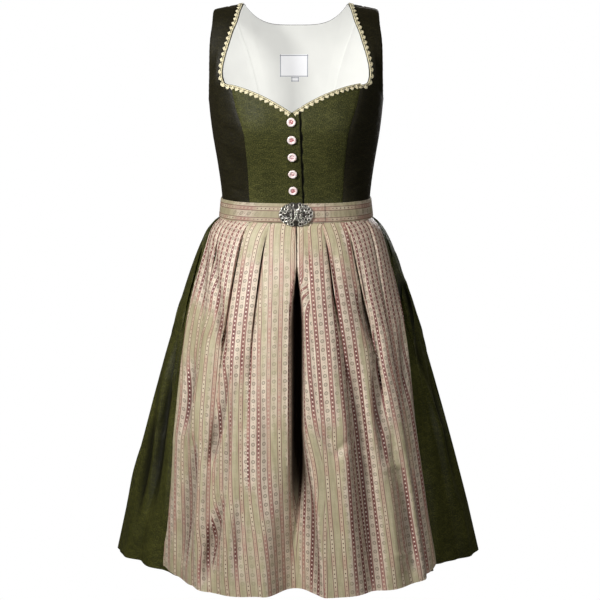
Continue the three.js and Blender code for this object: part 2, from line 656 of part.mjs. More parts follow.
// ---------------------------------------------------------------- buttons
// Five turned buttons on the lap, each a rimmed disc on a short shank.
const BUTTON = { radius: 7.7, high: 3.4, shank: 2.2, lift: 0.5 };
const BUTTON_ROW = { count: 5, top: { x: -8, z: -199 }, bottom: { x: -5, z: -319 } };
const BUTTON_PROFILE = [
  [0, 0],
  [BUTTON.shank, 0],
  [BUTTON.shank, 1.4],
  [BUTTON.radius - 1.2, 1.5],
  [BUTTON.radius, 2.4],
  [BUTTON.radius - 0.5, BUTTON.high + 0.2],
  [BUTTON.radius - 2, BUTTON.high + 0.5],
  [BUTTON.radius - 3.4, BUTTON.high - 0.4],
  [0, BUTTON.high],
].map(([x, y]) => new THREE.Vector2(x, y));
for (let i = 0; i < BUTTON_ROW.count; i += 1) {
  const { top, bottom } = BUTTON_ROW;
  const t = i / (BUTTON_ROW.count - 1);
  const [angle, p] = seenAt(mix(top.x, bottom.x, t), mix(top.z, bottom.z, t));
  const point = torso(angle, p);
  const down = torso(angle, p + 0.02).sub(torso(angle, p - 0.02));
  const along = torso(angle + 0.01, p).sub(torso(angle - 0.01, p));
  const normal = new THREE.Vector3().crossVectors(down, along).normalize();
  const button = new THREE.Mesh(
    new THREE.LatheGeometry(BUTTON_PROFILE, 12),
    new THREE.MeshStandardMaterial({ color: 0xe3c4bd, roughness: 0.4 }),
  );
  button.name = `button_${i + 1}`;
  button.quaternion.setFromUnitVectors(new THREE.Vector3(0, 1, 0), normal);
  button.position.copy(point.addScaledVector(normal, BUTTON.lift));
  part.add(button);
}

// ---------------------------------------------------------------- neck trim
// A scalloped braid on each side, from the shoulder seam to the point of the neckline.
const TRIM = { near: 2.4, far: 9, scallop: 1.6, pitch: 10.4, wall: 1.3, lift: 0.7, perScallop: 2 };
function neckTrim(name, side) {
  const turn = side < 0 ? mirror : (line) => line;
  const end = V_POINT.x + side * 1.2;
  const lower = count(8).map((i) => {
    const x = mix(end, 113 * side, i / 8);
    return seenAt(x, neckZ(x));
  });
  const raw = [...lower.slice(0, 8), ...turn(NECK_UPPER)];
  const places = raw.map((at) => torso(...at));
  const length = places.slice(1).reduce((sum, b, i) => sum + b.distanceTo(places[i]), 0);
  const scallops = Math.round(length / TRIM.pitch);
  const line = trace(raw, scallops * TRIM.perScallop);
  const [outer, inner] = [[[], []], [[], []]];
  line.forEach(([angle, p], i) => {
    const here = torso(angle, p);
    const before = torso(...line[Math.max(0, i - 1)]);
    const after = torso(...line[Math.min(line.length - 1, i + 1)]);
    const along = after.sub(before).normalize();
    const down = torso(angle, p + 0.02).sub(torso(angle, Math.max(0, p - 0.02)));
    const across = torso(angle + 0.01, p).sub(torso(angle - 0.01, p));
    const normal = new THREE.Vector3().crossVectors(down, across).normalize();
    const away = new THREE.Vector3().crossVectors(normal, along).multiplyScalar(-side).normalize();
    const wave = Math.abs(Math.sin((Math.PI * i) / TRIM.perScallop));
    const endNarrow = mix(0.55, 1, clamp(i / TRIM.perScallop, 0, 1));
    const reach = [TRIM.near, (TRIM.far + TRIM.scallop * wave) * endNarrow];
    reach.forEach((by, k) => {
      const low = here.clone().addScaledVector(away, by).addScaledVector(normal, TRIM.lift);
      inner[k].push(low);
      outer[k].push(low.clone().addScaledVector(normal, TRIM.wall));
    });
  });
  const ends = { left: 0.2, right: 0.6 };
  for (const layer of [outer, inner]) drawBack(layer, ends);
  part.add(solid(name, 0xe3d9b4, outer, inner, { roughness: 0.8 }));
}
neckTrim("neck_trim_right", -1);
neckTrim("neck_trim_left", 1);

export default part;
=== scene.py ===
import math

import bpy
import numpy as np
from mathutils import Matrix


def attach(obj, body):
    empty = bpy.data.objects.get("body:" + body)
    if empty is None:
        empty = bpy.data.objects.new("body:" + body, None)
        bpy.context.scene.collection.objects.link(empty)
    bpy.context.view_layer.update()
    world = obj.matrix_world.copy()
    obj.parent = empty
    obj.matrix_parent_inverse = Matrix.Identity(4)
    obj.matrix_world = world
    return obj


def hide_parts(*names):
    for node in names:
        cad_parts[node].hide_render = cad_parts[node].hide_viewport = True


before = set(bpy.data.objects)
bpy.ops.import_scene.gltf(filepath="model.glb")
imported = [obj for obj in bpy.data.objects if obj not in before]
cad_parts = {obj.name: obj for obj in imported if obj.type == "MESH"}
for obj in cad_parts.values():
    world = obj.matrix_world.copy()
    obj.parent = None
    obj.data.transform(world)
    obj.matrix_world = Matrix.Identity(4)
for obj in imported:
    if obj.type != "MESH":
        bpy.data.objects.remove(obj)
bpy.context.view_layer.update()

# ---------------------------------------------------------------- the form of the bodice
# A fitted bodice on a general figure, in metres. Level sections run from the shoulder seam down
# to the waist; each is a superellipse with its own depth in front and behind.
WAIST_SEAM_Z = -0.360
TORSO_SQUARE = 2.3
TORSO = np.array(  # height, half width, depth in front, depth behind, centre, share of the slope
    [
        [0, 0.187, 0.0003, 0.0003, 0.008, 1],
        [-0.003, 0.187, 0.016, 0.017, 0.008, 1],
        [-0.011, 0.186, 0.031, 0.032, 0.007, 0.95],
        [-0.026, 0.184, 0.049, 0.051, 0.006, 0.85],
        [-0.046, 0.181, 0.066, 0.069, 0.005, 0.7],
        [-0.070, 0.176, 0.082, 0.086, 0.003, 0.5],
        [-0.098, 0.169, 0.098, 0.098, 0.001, 0.25],
        [-0.126, 0.162, 0.112, 0.104, 0, 0.08],
        [-0.150, 0.1575, 0.122, 0.107, 0, 0],
        [-0.172, 0.1545, 0.128, 0.108, 0, 0],
        [-0.194, 0.1525, 0.131, 0.108, 0, 0],
        [-0.215, 0.150, 0.131, 0.107, 0, 0],
        [-0.236, 0.147, 0.127, 0.105, 0, 0],
        [-0.258, 0.1435, 0.121, 0.103, 0, 0],
        [-0.279, 0.140, 0.114, 0.100, 0, 0],
        [-0.300, 0.137, 0.107, 0.097, 0, 0],
        [-0.322, 0.1343, 0.101, 0.095, 0, 0],
        [-0.342, 0.1324, 0.098, 0.0935, 0, 0],
        [WAIST_SEAM_Z, 0.132, 0.0975, 0.093, 0, 0],
    ]
)
WAIST_ROW = len(TORSO) - 1
SHOULDER_INNER, SHOULDER_OUTER, SHOULDER_SLOPE = 0.092, 0.144, 0.805
CUP_X, CUP_Z, CUP_WIDE, CUP_HIGH, CUP_DEEP = 0.074, -0.207, 0.044, 0.050, 0.007


def cubic(t, low, high, start, end):
    """Hermite's cubic from low to high, whose slopes there are start and end."""
    ends = (2 * t**3 - 3 * t**2 + 1) * low + (3 * t**2 - 2 * t**3) * high
    return ends + (t**3 - 2 * t**2 + t) * start + (t**3 - t**2) * end


def through_rows(table, at):
    """Every column of a table at real row numbers: the cubic through the rows whose slope at a
    row is half the difference of its neighbours."""
    last = len(table) - 1
    i = np.clip(np.floor(at).astype(int), 0, last - 1)
    t = (at - i)[..., None]
    before, low, high, after = (table[np.clip(i + k, 0, last)] for k in (-1, 0, 1, 2))
    start = np.where((i == 0)[..., None], high - low, (high - before) / 2)
    end = np.where((i == last - 1)[..., None], high - low, (after - low) / 2)
    return cubic(t, low, high, start, end)


def ring(angle, half, front, back, square):
    """A superellipse: sideways half * |sin|^(2/square), and in depth front or back times
    |cos|^(2/square). Angle 0 is the front centre."""
    s, c = np.sin(angle), np.cos(angle)
    across = half * np.sign(s) * np.abs(s) ** (2 / square)
    return across, np.where(c >= 0, -front, back) * np.abs(c) ** (2 / square)


def torso(angle, row):
    """The bodice's outer face: a superellipse at each row, lowered outwards by the shoulders'
    slope, with a bell-shaped cup on each side in front."""
    angle, row = np.broadcast_arrays(np.asarray(angle, float), np.asarray(row, float))
    z, half, front, back, centre, droop = np.moveaxis(through_rows(TORSO, row), -1, 0)
    x, across = ring(angle, half, front, back, TORSO_SQUARE)
    z = z + droop * SHOULDER_SLOPE * (SHOULDER_INNER**2 - x * x)
    cup = np.exp(-(((np.abs(x) - CUP_X) / CUP_WIDE) ** 2) - ((z - CUP_Z) / CUP_HIGH) ** 2)
    y = centre + across - np.where(np.cos(angle) > 0, CUP_DEEP * cup, 0)
    return np.stack([x, y, z], -1)


def row_where(miss, shape):
    """The row at which miss(row) turns positive on the way up, by halving."""
    low, high = np.zeros(shape), np.full(shape, float(WAIST_ROW))
    for _ in range(32):
        middle = (low + high) / 2
        above = miss(middle) > 0
        low, high = np.where(above, middle, low), np.where(above, high, middle)
    return (low + high) / 2


def seen_at(x, z, behind=False):
    """(angle, row) of the form's points that lie at x and z, seen square on from the front or
    from behind."""
    x, z = np.broadcast_arrays(np.asarray(x, float), np.asarray(z, float))

    def angle_at(row):
        share = np.clip(np.abs(x) / through_rows(TORSO, row)[..., 1], 0, 1)
        front = np.arcsin(share ** (TORSO_SQUARE / 2))
        return np.where(x < 0, -1, 1) * (math.pi - front if behind else front)

    row = row_where(lambda row: torso(angle_at(row), row)[..., 2] - z, x.shape)
    return np.stack([angle_at(row), row], -1)


def at_angle(degrees, z):
    """(angle, row) of the form's points at an angle and a height."""
    angle, z = np.radians(degrees), np.asarray(z, float)
    return np.stack([angle, row_where(lambda row: torso(angle, row)[..., 2] - z, z.shape)], -1)


def smooth_line(points, steps):
    """steps + 1 points, equally far apart on the form, along the centripetal Catmull-Rom curve
    through (angle, row) points."""
    stretch = np.array([1, 1 / 20])
    p = np.asarray(points, float) * stretch
    p = np.vstack([2 * p[0] - p[1], p, 2 * p[-1] - p[-2]])
    gap = np.sqrt(np.linalg.norm(np.diff(p, axis=0), axis=1))[:, None]
    rise = np.diff(p, axis=0) / gap
    bend = rise[:-1] + rise[1:] - (p[2:] - p[:-2]) / (gap[:-1] + gap[1:])
    start, end = bend[:-1] * gap[1:-1], bend[1:] * gap[1:-1]
    t = np.linspace(0, 1, 25)[None, :, None]
    fine = cubic(t, p[1:-2, None], p[2:-1, None], start[:, None], end[:, None])
    fine = fine.reshape(-1, 2) / stretch
    run = np.r_[0, np.cumsum(np.linalg.norm(np.diff(torso(*fine.T), axis=0), axis=1))]
    want = np.linspace(0, run[-1], steps + 1)
    return np.stack([np.interp(want, run, fine[:, k]) for k in (0, 1)], -1)


# Seams and edges on the wearer's left, as (x, z) seen from the front or (degrees, z).
PRINCESS_SEAM = [
    (0.081, -0.360), (0.082, -0.335), (0.084, -0.290), (0.087, -0.250),
    (0.090, -0.222), (0.096, -0.200), (0.105, -0.172), (0.113, -0.137),
]
NECK_SIDE = [
    (0.113, -0.137), (0.120, -0.136), (0.1245, -0.132), (0.1268, -0.123), (0.126, -0.108),
    (0.1228, -0.093), (0.116, -0.070), (0.109, -0.048), (0.101, -0.028), (0.094, -0.006),
]
ARMHOLE_EDGE = [
    (90, -0.170), (81, -0.161), (73, -0.140), (65.5, -0.114), (59.5, -0.088), (54.5, -0.060),
    (50.5, -0.034),
]
BACK_SEAM_LINE = [
    (0.049, -0.300), (0.058, -0.230), (0.071, -0.160), (0.087, -0.095), (0.103, -0.045),
]
V_POINT_X, V_POINT_Z = -0.007, -0.183
SHARP_EDGE = math.radians(55)
SEAM_STEPS, NECK_STEPS = 80, 52


def shoulder_angle(x):
    """The angle at which the shoulder's level section reaches x."""
    return np.arcsin((x / TORSO[0, 1]) ** (TORSO_SQUARE / 2))


def on_front(points):
    """(angle, row) of (x, z) points seen from the front."""
    return seen_at(*np.transpose(points))


def behind(line):
    """The same line on the back, at the same distance from the side."""
    return np.stack([math.pi - line[:, 0], line[:, 1]], -1)


princess = smooth_line(on_front(PRINCESS_SEAM), SEAM_STEPS)
neck_side = smooth_line(on_front(NECK_SIDE), NECK_STEPS)
neck_side[-1] = [shoulder_angle(SHOULDER_INNER), 0]
side_top = at_angle(90, -0.170)
side_seam = np.linspace([math.pi / 2, WAIST_ROW], side_top, SEAM_STEPS + 1)
armhole = smooth_line(
    np.vstack([at_angle(*np.transpose(ARMHOLE_EDGE)), [shoulder_angle(SHOULDER_OUTER), 0]]), NECK_STEPS
)
shoulder_seam = np.stack(
    [shoulder_angle(np.linspace(SHOULDER_INNER, SHOULDER_OUTER, 25)), np.zeros(25)], -1
)


def neck_z(x):
    """Height of the heart-shaped neckline: from its point it rises on each side, ever flatter."""
    out = np.abs(x - V_POINT_X)
    return V_POINT_Z + 0.68 * out - 2.3 * out**2


def between_edges(bottom, top, left, right):
    """A Coons patch: points between four edges of (angle, row), rows from the bottom up."""
    u = np.linspace(0, 1, len(bottom))[None, :, None]
    v = np.linspace(0, 1, len(left))[:, None, None]
    corners = (1 - v) * ((1 - u) * bottom[0] + u * bottom[-1]) + v * ((1 - u) * top[0] + u * top[-1])
    return (1 - v) * bottom + v * top + (1 - u) * left[:, None] + u * right[:, None] - corners


def grid_normals(points):
    """Unit normals of a grid whose rows run upwards and columns leftwards round the wearer."""
    normal = np.cross(np.gradient(points, axis=1), np.gradient(points, axis=0))
    return normal / np.linalg.norm(normal, axis=-1, keepdims=True)


def form_normals(angle, row):
    """Unit normals of the bodice's form: the cross product of its slopes down and round."""
    down = torso(angle, row + 0.02) - torso(angle, np.maximum(row - 0.02, 0))
    normal = np.cross(down, torso(angle + 0.01, row) - torso(angle - 0.01, row))
    return normal / np.linalg.norm(normal, axis=-1, keepdims=True)


def lengths(points, axis):
    """Distance run along each line of a grid, in metres, from its start."""
    step = np.linalg.norm(np.diff(points, axis=axis), axis=-1)
    start = np.zeros_like(step[:1] if axis == 0 else step[:, :1])
    return np.cumsum(np.concatenate([start, step], axis=axis), axis=axis)


def cloth_map(points):
    """Cloth coordinates in metres: distance from the middle column, and from the bottom edge."""
    across = lengths(points, 1)
    return np.stack([across - across[:, [across.shape[1] // 2]], lengths(points, 0)], -1)


def placed(mesh, materials, slots=None):
    """A smooth-shaded object of a mesh, whose faces take the materials by their slot numbers."""
    for material in materials:
        mesh.materials.append(material)
    if slots is not None:
        mesh.polygons.foreach_set("material_index", slots)
    mesh.polygons.foreach_set("use_smooth", np.ones(len(mesh.polygons), bool))
    made = bpy.data.objects.new(mesh.name, mesh)
    bpy.context.scene.collection.objects.link(made)
    return made


def closed_wall(name, outer, inner, uv, materials, corner_uv=None, pale_rims=()):
    """A closed object from an outer and an inner grid and the rims that join them. Each vertex
    takes its uv, or each corner of a cell its corner_uv, in metres of cloth. The inner face and
    the named rims (bottom, top, left, right) take the last material."""
    rows, cols = outer.shape[:2]
    at = np.arange(rows * cols).reshape(rows, cols)
    cells = np.stack([at[:-1, :-1], at[:-1, 1:], at[1:, 1:], at[1:, :-1]], -1).reshape(-1, 4)
    far = rows * cols

    def rim(line, flip):
        a, b = line[:-1], line[1:]
        quad = np.stack([a, a + far, b + far, b], -1)
        return quad[:, ::-1] if flip else quad

    rims = np.vstack([rim(at[0], False), rim(at[-1], True), rim(at[:, 0], True), rim(at[:, -1], False)])
    faces = np.vstack([cells, cells[:, ::-1] + far, rims])
    mesh = bpy.data.meshes.new(name)
    mesh.from_pydata(np.vstack([outer.reshape(-1, 3), inner.reshape(-1, 3)]), [], faces)
    flat = np.tile(uv.reshape(-1, 2), (2, 1))
    corners = flat[faces]
    if corner_uv is not None:
        corners[: len(cells)] = corner_uv
        corners[len(cells) : 2 * len(cells)] = corner_uv[:, ::-1]
    mesh.uv_layers.new(name="cloth").data.foreach_set("uv", corners.ravel())
    slot = np.zeros(len(faces), int)
    slot[len(cells) : 2 * len(cells)] = len(materials) - 1
    ends = 2 * len(cells) + np.cumsum([0, cols - 1, cols - 1, rows - 1, rows - 1])
    for i, rim_name in enumerate(("bottom", "top", "left", "right")):
        if rim_name in pale_rims:
            slot[ends[i] : ends[i + 1]] = len(materials) - 1
    made = placed(mesh, materials, slot)
    mesh.set_sharp_from_angle(angle=SHARP_EDGE)
    mesh.update()
    return made


def store(piece, name, values):
    """Stores a value for each point of both faces of a wall."""
    layer = piece.data.attributes.new(name, "FLOAT", "POINT")
    layer.data.foreach_set("value", np.tile(np.asarray(values, float).ravel(), 2))


def creased(points, normals, creases, side):
    """Points moved along their normals by listed creases. Each is a segment from (x0, z0) to (x1, z1) with a
    half width and a height, in mm; across it the profile is a bell, and along it the height tapers to nothing
    at both ends."""
    here = points[..., [0, 2]]
    facing = np.clip(side * normals[..., 1] * 3, 0, 1)
    lift = np.zeros(points.shape[:2])
    for x0, z0, x1, z1, wide, high in np.divide(creases, 1000):
        start, run = np.array([x0, z0]), np.array([x1 - x0, z1 - z0])
        along = np.clip((here - start) @ run / (run @ run), 0, 1)
        away = np.linalg.norm(here - start - along[..., None] * run, axis=-1)
        lift += high * np.exp(-((away / wide) ** 2)) * np.sin(math.pi * (0.08 + 0.84 * along))
    return points + normals * (lift * facing)[..., None]


# ---------------------------------------------------------------- shader sums
# One value in a shader tree. Sums, products and comparisons of it add Math nodes.
class Shade:
    def __init__(self, tree, socket):
        self.tree, self.socket = tree, socket

    def node(self, kind, settings, values, out=0):
        """Adds any node: its settings first, with a ramp's stops as (place, colour) pairs, then
        the values or links of its sockets."""
        made = self.tree.nodes.new(kind)
        for key, value in settings.items():
            if key != "stops":
                setattr(made, key, value)
                continue
            ramp = made.color_ramp.elements
            while len(ramp) < len(value):
                ramp.new(0.5)
            for stop, (place, colour) in zip(ramp, value):
                stop.position, stop.color = place, (*colour, 1)
        for key, value in values.items():
            if isinstance(value, Shade):
                self.tree.links.new(value.socket, made.inputs[key])
            else:
                made.inputs[key].default_value = value
        return Shade(self.tree, made.outputs[out])

    def math(self, operation, *others):
        return self.node("ShaderNodeMath", {"operation": operation}, dict(enumerate((self, *others))))

    def __add__(self, other):
        return self.math("ADD", other)

    def __sub__(self, other):
        return self.math("SUBTRACT", other)

    def __rsub__(self, other):
        return (self * -1) + other

    def __mul__(self, other):
        return self.math("MULTIPLY", other)

    def __truediv__(self, other):
        return self.math("DIVIDE", other)

    __radd__, __rmul__ = __add__, __mul__

    def clipped(self, low, high):
        """0 at low, 1 at high, smooth between."""
        return self.node(
            "ShaderNodeMapRange",
            {"interpolation_type": "SMOOTHSTEP"},
            {"Value": self, "From Min": low, "From Max": high},
        )

    def from_middle(self, pitch, shift=0):
        """Distance from the middle of its repeat, in a pattern moved by a share of its pitch."""
        return ((self / pitch + shift).math("FRACT") - 0.5) * pitch

    def far(self, other):
        """Distance from the origin of the point with these two coordinates."""
        return (self * self + other * other).math("SQRT")

    def near(self, centre, half, soft):
        """1 within half of centre, 0 beyond, with an edge soft wide."""
        return 1 - (self - centre).math("ABSOLUTE").clipped(half - soft / 2, half + soft / 2)

    def mixed(self, low, high):
        """Colour low where this is 0, and high where it is 1. Each is a colour or a link."""
        values = {0: self, 6: low, 7: high}
        values = {k: (*v, 1) if isinstance(v, tuple) else v for k, v in values.items()}
        return self.node("ShaderNodeMix", {"data_type": "RGBA"}, values, out=2)


def material(name, **constants):
    """A new material with constants set on its shader. Returns it, its shader and a first value."""
    made = bpy.data.materials.new(name)
    made.use_nodes = True
    shader = made.node_tree.nodes["Principled BSDF"]
    for key, value in constants.items():
        key = key.replace("_", " ")
        shader.inputs[key].default_value = (*value, 1) if isinstance(value, tuple) else value
    return made, shader, Shade(made.node_tree, None)


def feed(shade, shader, socket):
    shade.tree.links.new(shade.socket, shader.inputs[socket])


def emboss(height, shader, strength, distance):
    """Raises the surface by a height, as bump."""
    bump = height.node("ShaderNodeBump", {}, {"Strength": strength, "Distance": distance, "Height": height})
    feed(bump, shader, "Normal")


def stored(start, name):
    """An attribute that the piece holds for each of its points."""
    return start.node("ShaderNodeAttribute", {"attribute_name": name}, {}, out=2)


def object_place(start):
    return start.node("ShaderNodeTexCoord", {}, {}, out=3)


def cloth_place(start):
    """The cloth map's two coordinates, in metres, as two values."""
    place = start.node("ShaderNodeUVMap", {"uv_map": "cloth"}, {})
    split = place.node("ShaderNodeSeparateXYZ", {}, {0: place})
    return place, split, Shade(start.tree, split.socket.node.outputs[1])


def noise(place, scale, detail=2, stretch=(1, 1, 1)):
    """Soft noise from 0 to 1 on a place, with so many lumps to the metre."""
    moved = place.node("ShaderNodeMapping", {}, {"Vector": place, "Scale": stretch})
    return place.node("ShaderNodeTexNoise", {}, {"Vector": moved, "Scale": scale, "Detail": detail})


def woven(across, up, pitch):
    """A plain weave's height, from -1 to 1: over and under threads a pitch apart."""
    a = (across * (math.tau / pitch)).math("SINE")
    b = (up * (math.tau / pitch)).math("SINE")
    return a * b


# ---------------------------------------------------------------- green satin jacquard
# The dress cloth: olive satin with a small woven ring-and-dot motif, half-dropped, darker than
# its ground. Its floats lie along the grain, so its shine is broken into fine streaks.
MOTIF_PITCH, MOTIF_RING = 0.0150, 0.0036
IN_SHADE = (0.004, 0.004, 0.002)
GREEN, BROWN = (0.5, 0.45, 0.25), (0.62, 0.50, 0.34)  # the tints of the sheen


def jacquard(name, light, dark, sheen, gloss):
    """A material from its lightest and darkest thread, with a sheen's tint and weight. The piece's stored
    fold shade darkens its colour deep in a fold: painted shade."""
    made, shader, start = material(
        name, Sheen_Weight=gloss / 3, Sheen_Roughness=0.4, Sheen_Tint=sheen, Specular_IOR_Level=gloss
    )
    cavity = stored(start, "cavity")
    place, across, up = cloth_place(start)
    column = (across / MOTIF_PITCH).math("FLOOR").math("MODULO", 2).math("ABSOLUTE")
    x = across.from_middle(MOTIF_PITCH)
    y = up.from_middle(MOTIF_PITCH, column * 0.5)
    away = x.far(y)
    between = x.math("ABSOLUTE") - MOTIF_PITCH / 2
    above = y.math("ABSOLUTE") - MOTIF_PITCH / 2
    motif = away.near(MOTIF_RING, 0.0007, 0.0009) + away.near(0, 0.0012, 0.0009)
    motif = (motif + between.far(above).near(0, 0.0013, 0.0009)).math("MINIMUM", 1)
    speck = noise(place, 700, 2, (1, 0.6, 1)).clipped(0.42, 0.70)
    streak = noise(place, 160, 3, (0.25, 1, 1))
    broad = noise(place, 16, 2)
    tone = speck * 0.36 + streak * 0.30 + broad * 0.34
    colour = tone.clipped(0.25, 0.75).mixed(dark, light)
    colour = (motif * 0.42).mixed(colour, tuple(c * 0.6 for c in dark))
    # Painted shade: the colour is darkened towards IN_SHADE by the piece's stored fold shade.
    feed(cavity.clipped(0.05, 0.95).mixed(colour, IN_SHADE), shader, "Base Color")
    feed(0.40 + motif * 0.15 + streak * 0.16, shader, "Roughness")
    height = woven(across, up, 0.0007) * 0.25 + motif * 0.8 + streak * 0.9 + speck * 0.5
    emboss(height, shader, 0.3, 0.0004)
    return made


front_cloth = jacquard("olive_jacquard_fronts", (0.102, 0.100, 0.029), (0.027, 0.029, 0.009), GREEN, 0.11)
# The side panels and backs take the same jacquard with colours painted far darker than the fronts: painted
# shade where the body turns away from the light.
side_cloth = jacquard("olive_jacquard_sides", (0.029, 0.025, 0.010), (0.007, 0.006, 0.002), BROWN, 0.20)
skirt_cloth = jacquard("olive_jacquard_skirt", (0.104, 0.102, 0.022), (0.022, 0.023, 0.005), GREEN, 0.16)


def lining_cloth():
    """Off-white lining in a plain weave, with a glow that keeps it evenly bright: painted light."""
    made, shader, start = material("ivory_lining", Sheen_Weight=0.1, Specular_IOR_Level=0.3)
    # Painted light: the lining glows though no lamp is in it.
    shader.inputs["Emission Color"].default_value = (0.95, 0.95, 0.92, 1)
    shader.inputs["Emission Strength"].default_value = 0.50
    place, across, up = cloth_place(start)
    tone = noise(place, 9, 3).clipped(0.3, 0.7)
    feed(tone.mixed((0.29, 0.29, 0.27), (0.34, 0.34, 0.315)), shader, "Base Color")
    shader.inputs["Roughness"].default_value = 0.62
    height = woven(across, up, 0.0006) * 0.4 + noise(place, 30, 2) * 1.5
    emboss(height, shader, 0.25, 0.0005)
    return made


lining = lining_cloth()

# ---------------------------------------------------------------- bodice panels
# Each panel is cut from the jacquard and sewn with its seam allowances pressed open, so that the
# cloth rolls in at a seam. The right front laps over the left one, which runs on under it.
BODICE_WALL = 0.0013
SEAM_ROLL, SEAM_REACH, SEAM_PUCKER, PUCKER_PITCH = 0.0009, 0.0014, 0.00022, 0.011
LAP_BOTTOM_X, LAP_TOP_X, LAP_UNDER, LAP_SINK = 0.012, 0.005, 0.020, 0.0046
FRONT_CREASES = [  # x0, z0, x1, z1, half width, height, in mm
    (-150, -205, -100, -222, 6, -1.6), (-152, -232, -104, -243, 5, 1.4), (-148, -262, -96, -268, 5, -1.5),
    (-142, -290, -100, -285, 5, 1.2), (-138, -318, -92, -322, 4, -1.4), (-136, -340, -100, -336, 4, 1.2),
    (-150, -165, -122, -120, 6, -1.8), (-143, -150, -133, -70, 5, 1.4), (150, -198, 104, -214, 6, -1.5),
    (150, -228, 108, -240, 5, 1.3), (146, -254, 98, -262, 6, -1.6), (140, -284, 104, -290, 5, 1.2),
    (138, -312, 94, -314, 4, -1.3), (136, -336, 102, -341, 4, 1.1), (152, -160, 126, -112, 6, -1.8),
    (140, -140, 131, -62, 5, 1.3), (-72, -335, -20, -346, 6, -0.9), (70, -330, 24, -344, 6, -0.9),
    (-60, -180, -35, -260, 10, 0.8),
]
BACK_CREASES = [
    (-120, -325, -40, -336, 6, -1.4), (118, -318, 36, -330, 6, -1.3), (-110, -290, -30, -300, 7, 1.2),
    (106, -284, 24, -298, 7, 1.3), (-140, -170, -90, -200, 7, -1.6), (140, -168, 94, -204, 7, -1.6),
    (-60, -100, 10, -112, 12, 1), (-100, -120, -60, -165, 9, 1), (102, -126, 64, -170, 9, 1),
]


def bodice_panel(
    name, domain, seams, lift=0.0, cloth=side_cloth, inside=lining, wall=BODICE_WALL, rides_in=0.0, pale=()
):
    """A panel of the bodice on its (angle, row) domain. Within SEAM_REACH of the seams named in
    `seams` (left, right, top) it rolls in, with a slight pucker along the stitches."""
    points = torso(domain[..., 0], domain[..., 1])
    normals = form_normals(domain[..., 0], domain[..., 1])
    across = lengths(points, 1)
    up = lengths(points, 0)
    edge = {"left": across, "right": across[:, -1:] - across, "top": up[-1:] - up}
    roll = np.zeros(points.shape[:2])
    for seam in seams:
        near = np.exp(-((edge[seam] / SEAM_REACH) ** 2))
        wide = np.exp(-((edge[seam] / (4 * SEAM_REACH)) ** 2))
        run = up if seam != "top" else across
        roll -= SEAM_ROLL * near + SEAM_PUCKER * wide * np.sin(math.tau * run / PUCKER_PITCH)
    outer = points + normals * (roll + lift - rides_in)[..., None]
    outer = creased(outer, normals, FRONT_CREASES, -1)
    outer = creased(outer, normals, BACK_CREASES, 1)
    inner = outer - normals * wall
    return closed_wall(name, outer, inner, cloth_map(points), [cloth, inside], pale_rims=pale)


def flipped(line):
    """The same line on the wearer's right."""
    return line * [-1, 1]


def centre_front(name, side):
    """The panel from the lap's edge to the princess seam. Its rows rise from the waist to the
    neckline, bent more the higher they are."""
    over = side < 0
    seam = flipped(princess) if over else princess
    seam_at = torso(*seam.T)
    v = np.linspace(0, 1, len(seam))[:, None]
    edge_x = LAP_BOTTOM_X + (LAP_TOP_X - LAP_BOTTOM_X) * v
    edge_z = WAIST_SEAM_Z + (neck_z(LAP_TOP_X) - WAIST_SEAM_Z) * v
    under = 0 if over else -LAP_UNDER / (seam_at[0, 0] - LAP_BOTTOM_X)
    near_edge = np.array([0, 0.004, 0.009, 0.015, 0.023, 0.035, 0.05, 0.07, 0.10, 0.13, 0.17])
    share = np.r_[near_edge, np.linspace(0.2, 1, 33)]
    share = share[None] if over else np.r_[np.linspace(under, -0.01, 10), share][None]
    x = edge_x + share * (seam_at[:, :1] - edge_x)
    top_x = LAP_TOP_X + share * (seam_at[-1, 0] - LAP_TOP_X)
    line = neck_z(LAP_TOP_X) + share * (seam_at[-1, 2] - neck_z(LAP_TOP_X))
    z = edge_z + share * (seam_at[:, 2:] - edge_z) + v * (neck_z(top_x) - line)
    domain = seen_at(x, np.maximum(z, WAIST_SEAM_Z + 1e-5))
    domain[0, :, 1] = WAIST_ROW
    domain[:, -1] = seam
    lift = np.zeros(x.shape)
    if over:
        lift -= 0.0007 * np.exp(-(((x - edge_x) / 0.0012) ** 2))
    else:
        wave = 0.0006 * np.sin(v * 46) + 0.0004 * np.sin(v * 19 + 1)
        past = np.clip(((x - edge_x) - 0.0018 - wave) / 0.0042, 0, 1)
        lift -= LAP_SINK * (1 - past * past * (3 - 2 * past))
        # Painted shadow: a dark strip on the left front just beside the lap's edge, stored as fold shade.
        shadow = 1 - np.clip(((x - edge_x) - 0.0034 - 1.5 * wave) / 0.0012, 0, 1)
    if over:
        domain, lift = domain[:, ::-1], lift[:, ::-1]
    seams = ["left"] if over else ["right"]
    made = bodice_panel(name, domain, seams, lift, front_cloth, pale=["top"])
    if not over:
        store(made, "cavity", shadow)
    return made


def side_front(name, side):
    """The panel between the princess and side seams, up to the shoulder seam."""
    left = np.vstack([princess, neck_side[1:]])
    right = np.vstack([side_seam, armhole[1:]])
    waist = np.linspace(left[0], right[0], 25)
    domain = between_edges(waist, shoulder_seam, left, right)
    domain[..., 1] = np.maximum(domain[..., 1], 0)
    if side < 0:
        domain = (domain * [-1, 1])[:, ::-1]
    return bodice_panel(name, domain, ["left", "right", "top"], pale=["right" if side < 0 else "left"])


def dress_piece(piece, node, rests_on=()):
    """Rides a piece on the dress, in place of its CAD node."""
    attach(piece, "root")
    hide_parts(node)


for node, side in (("front_right", -1), ("front_left", 1)):
    dress_piece(centre_front(node + "_cloth", side), node)
    node = "side_" + node
    dress_piece(side_front(node + "_cloth", side), node)

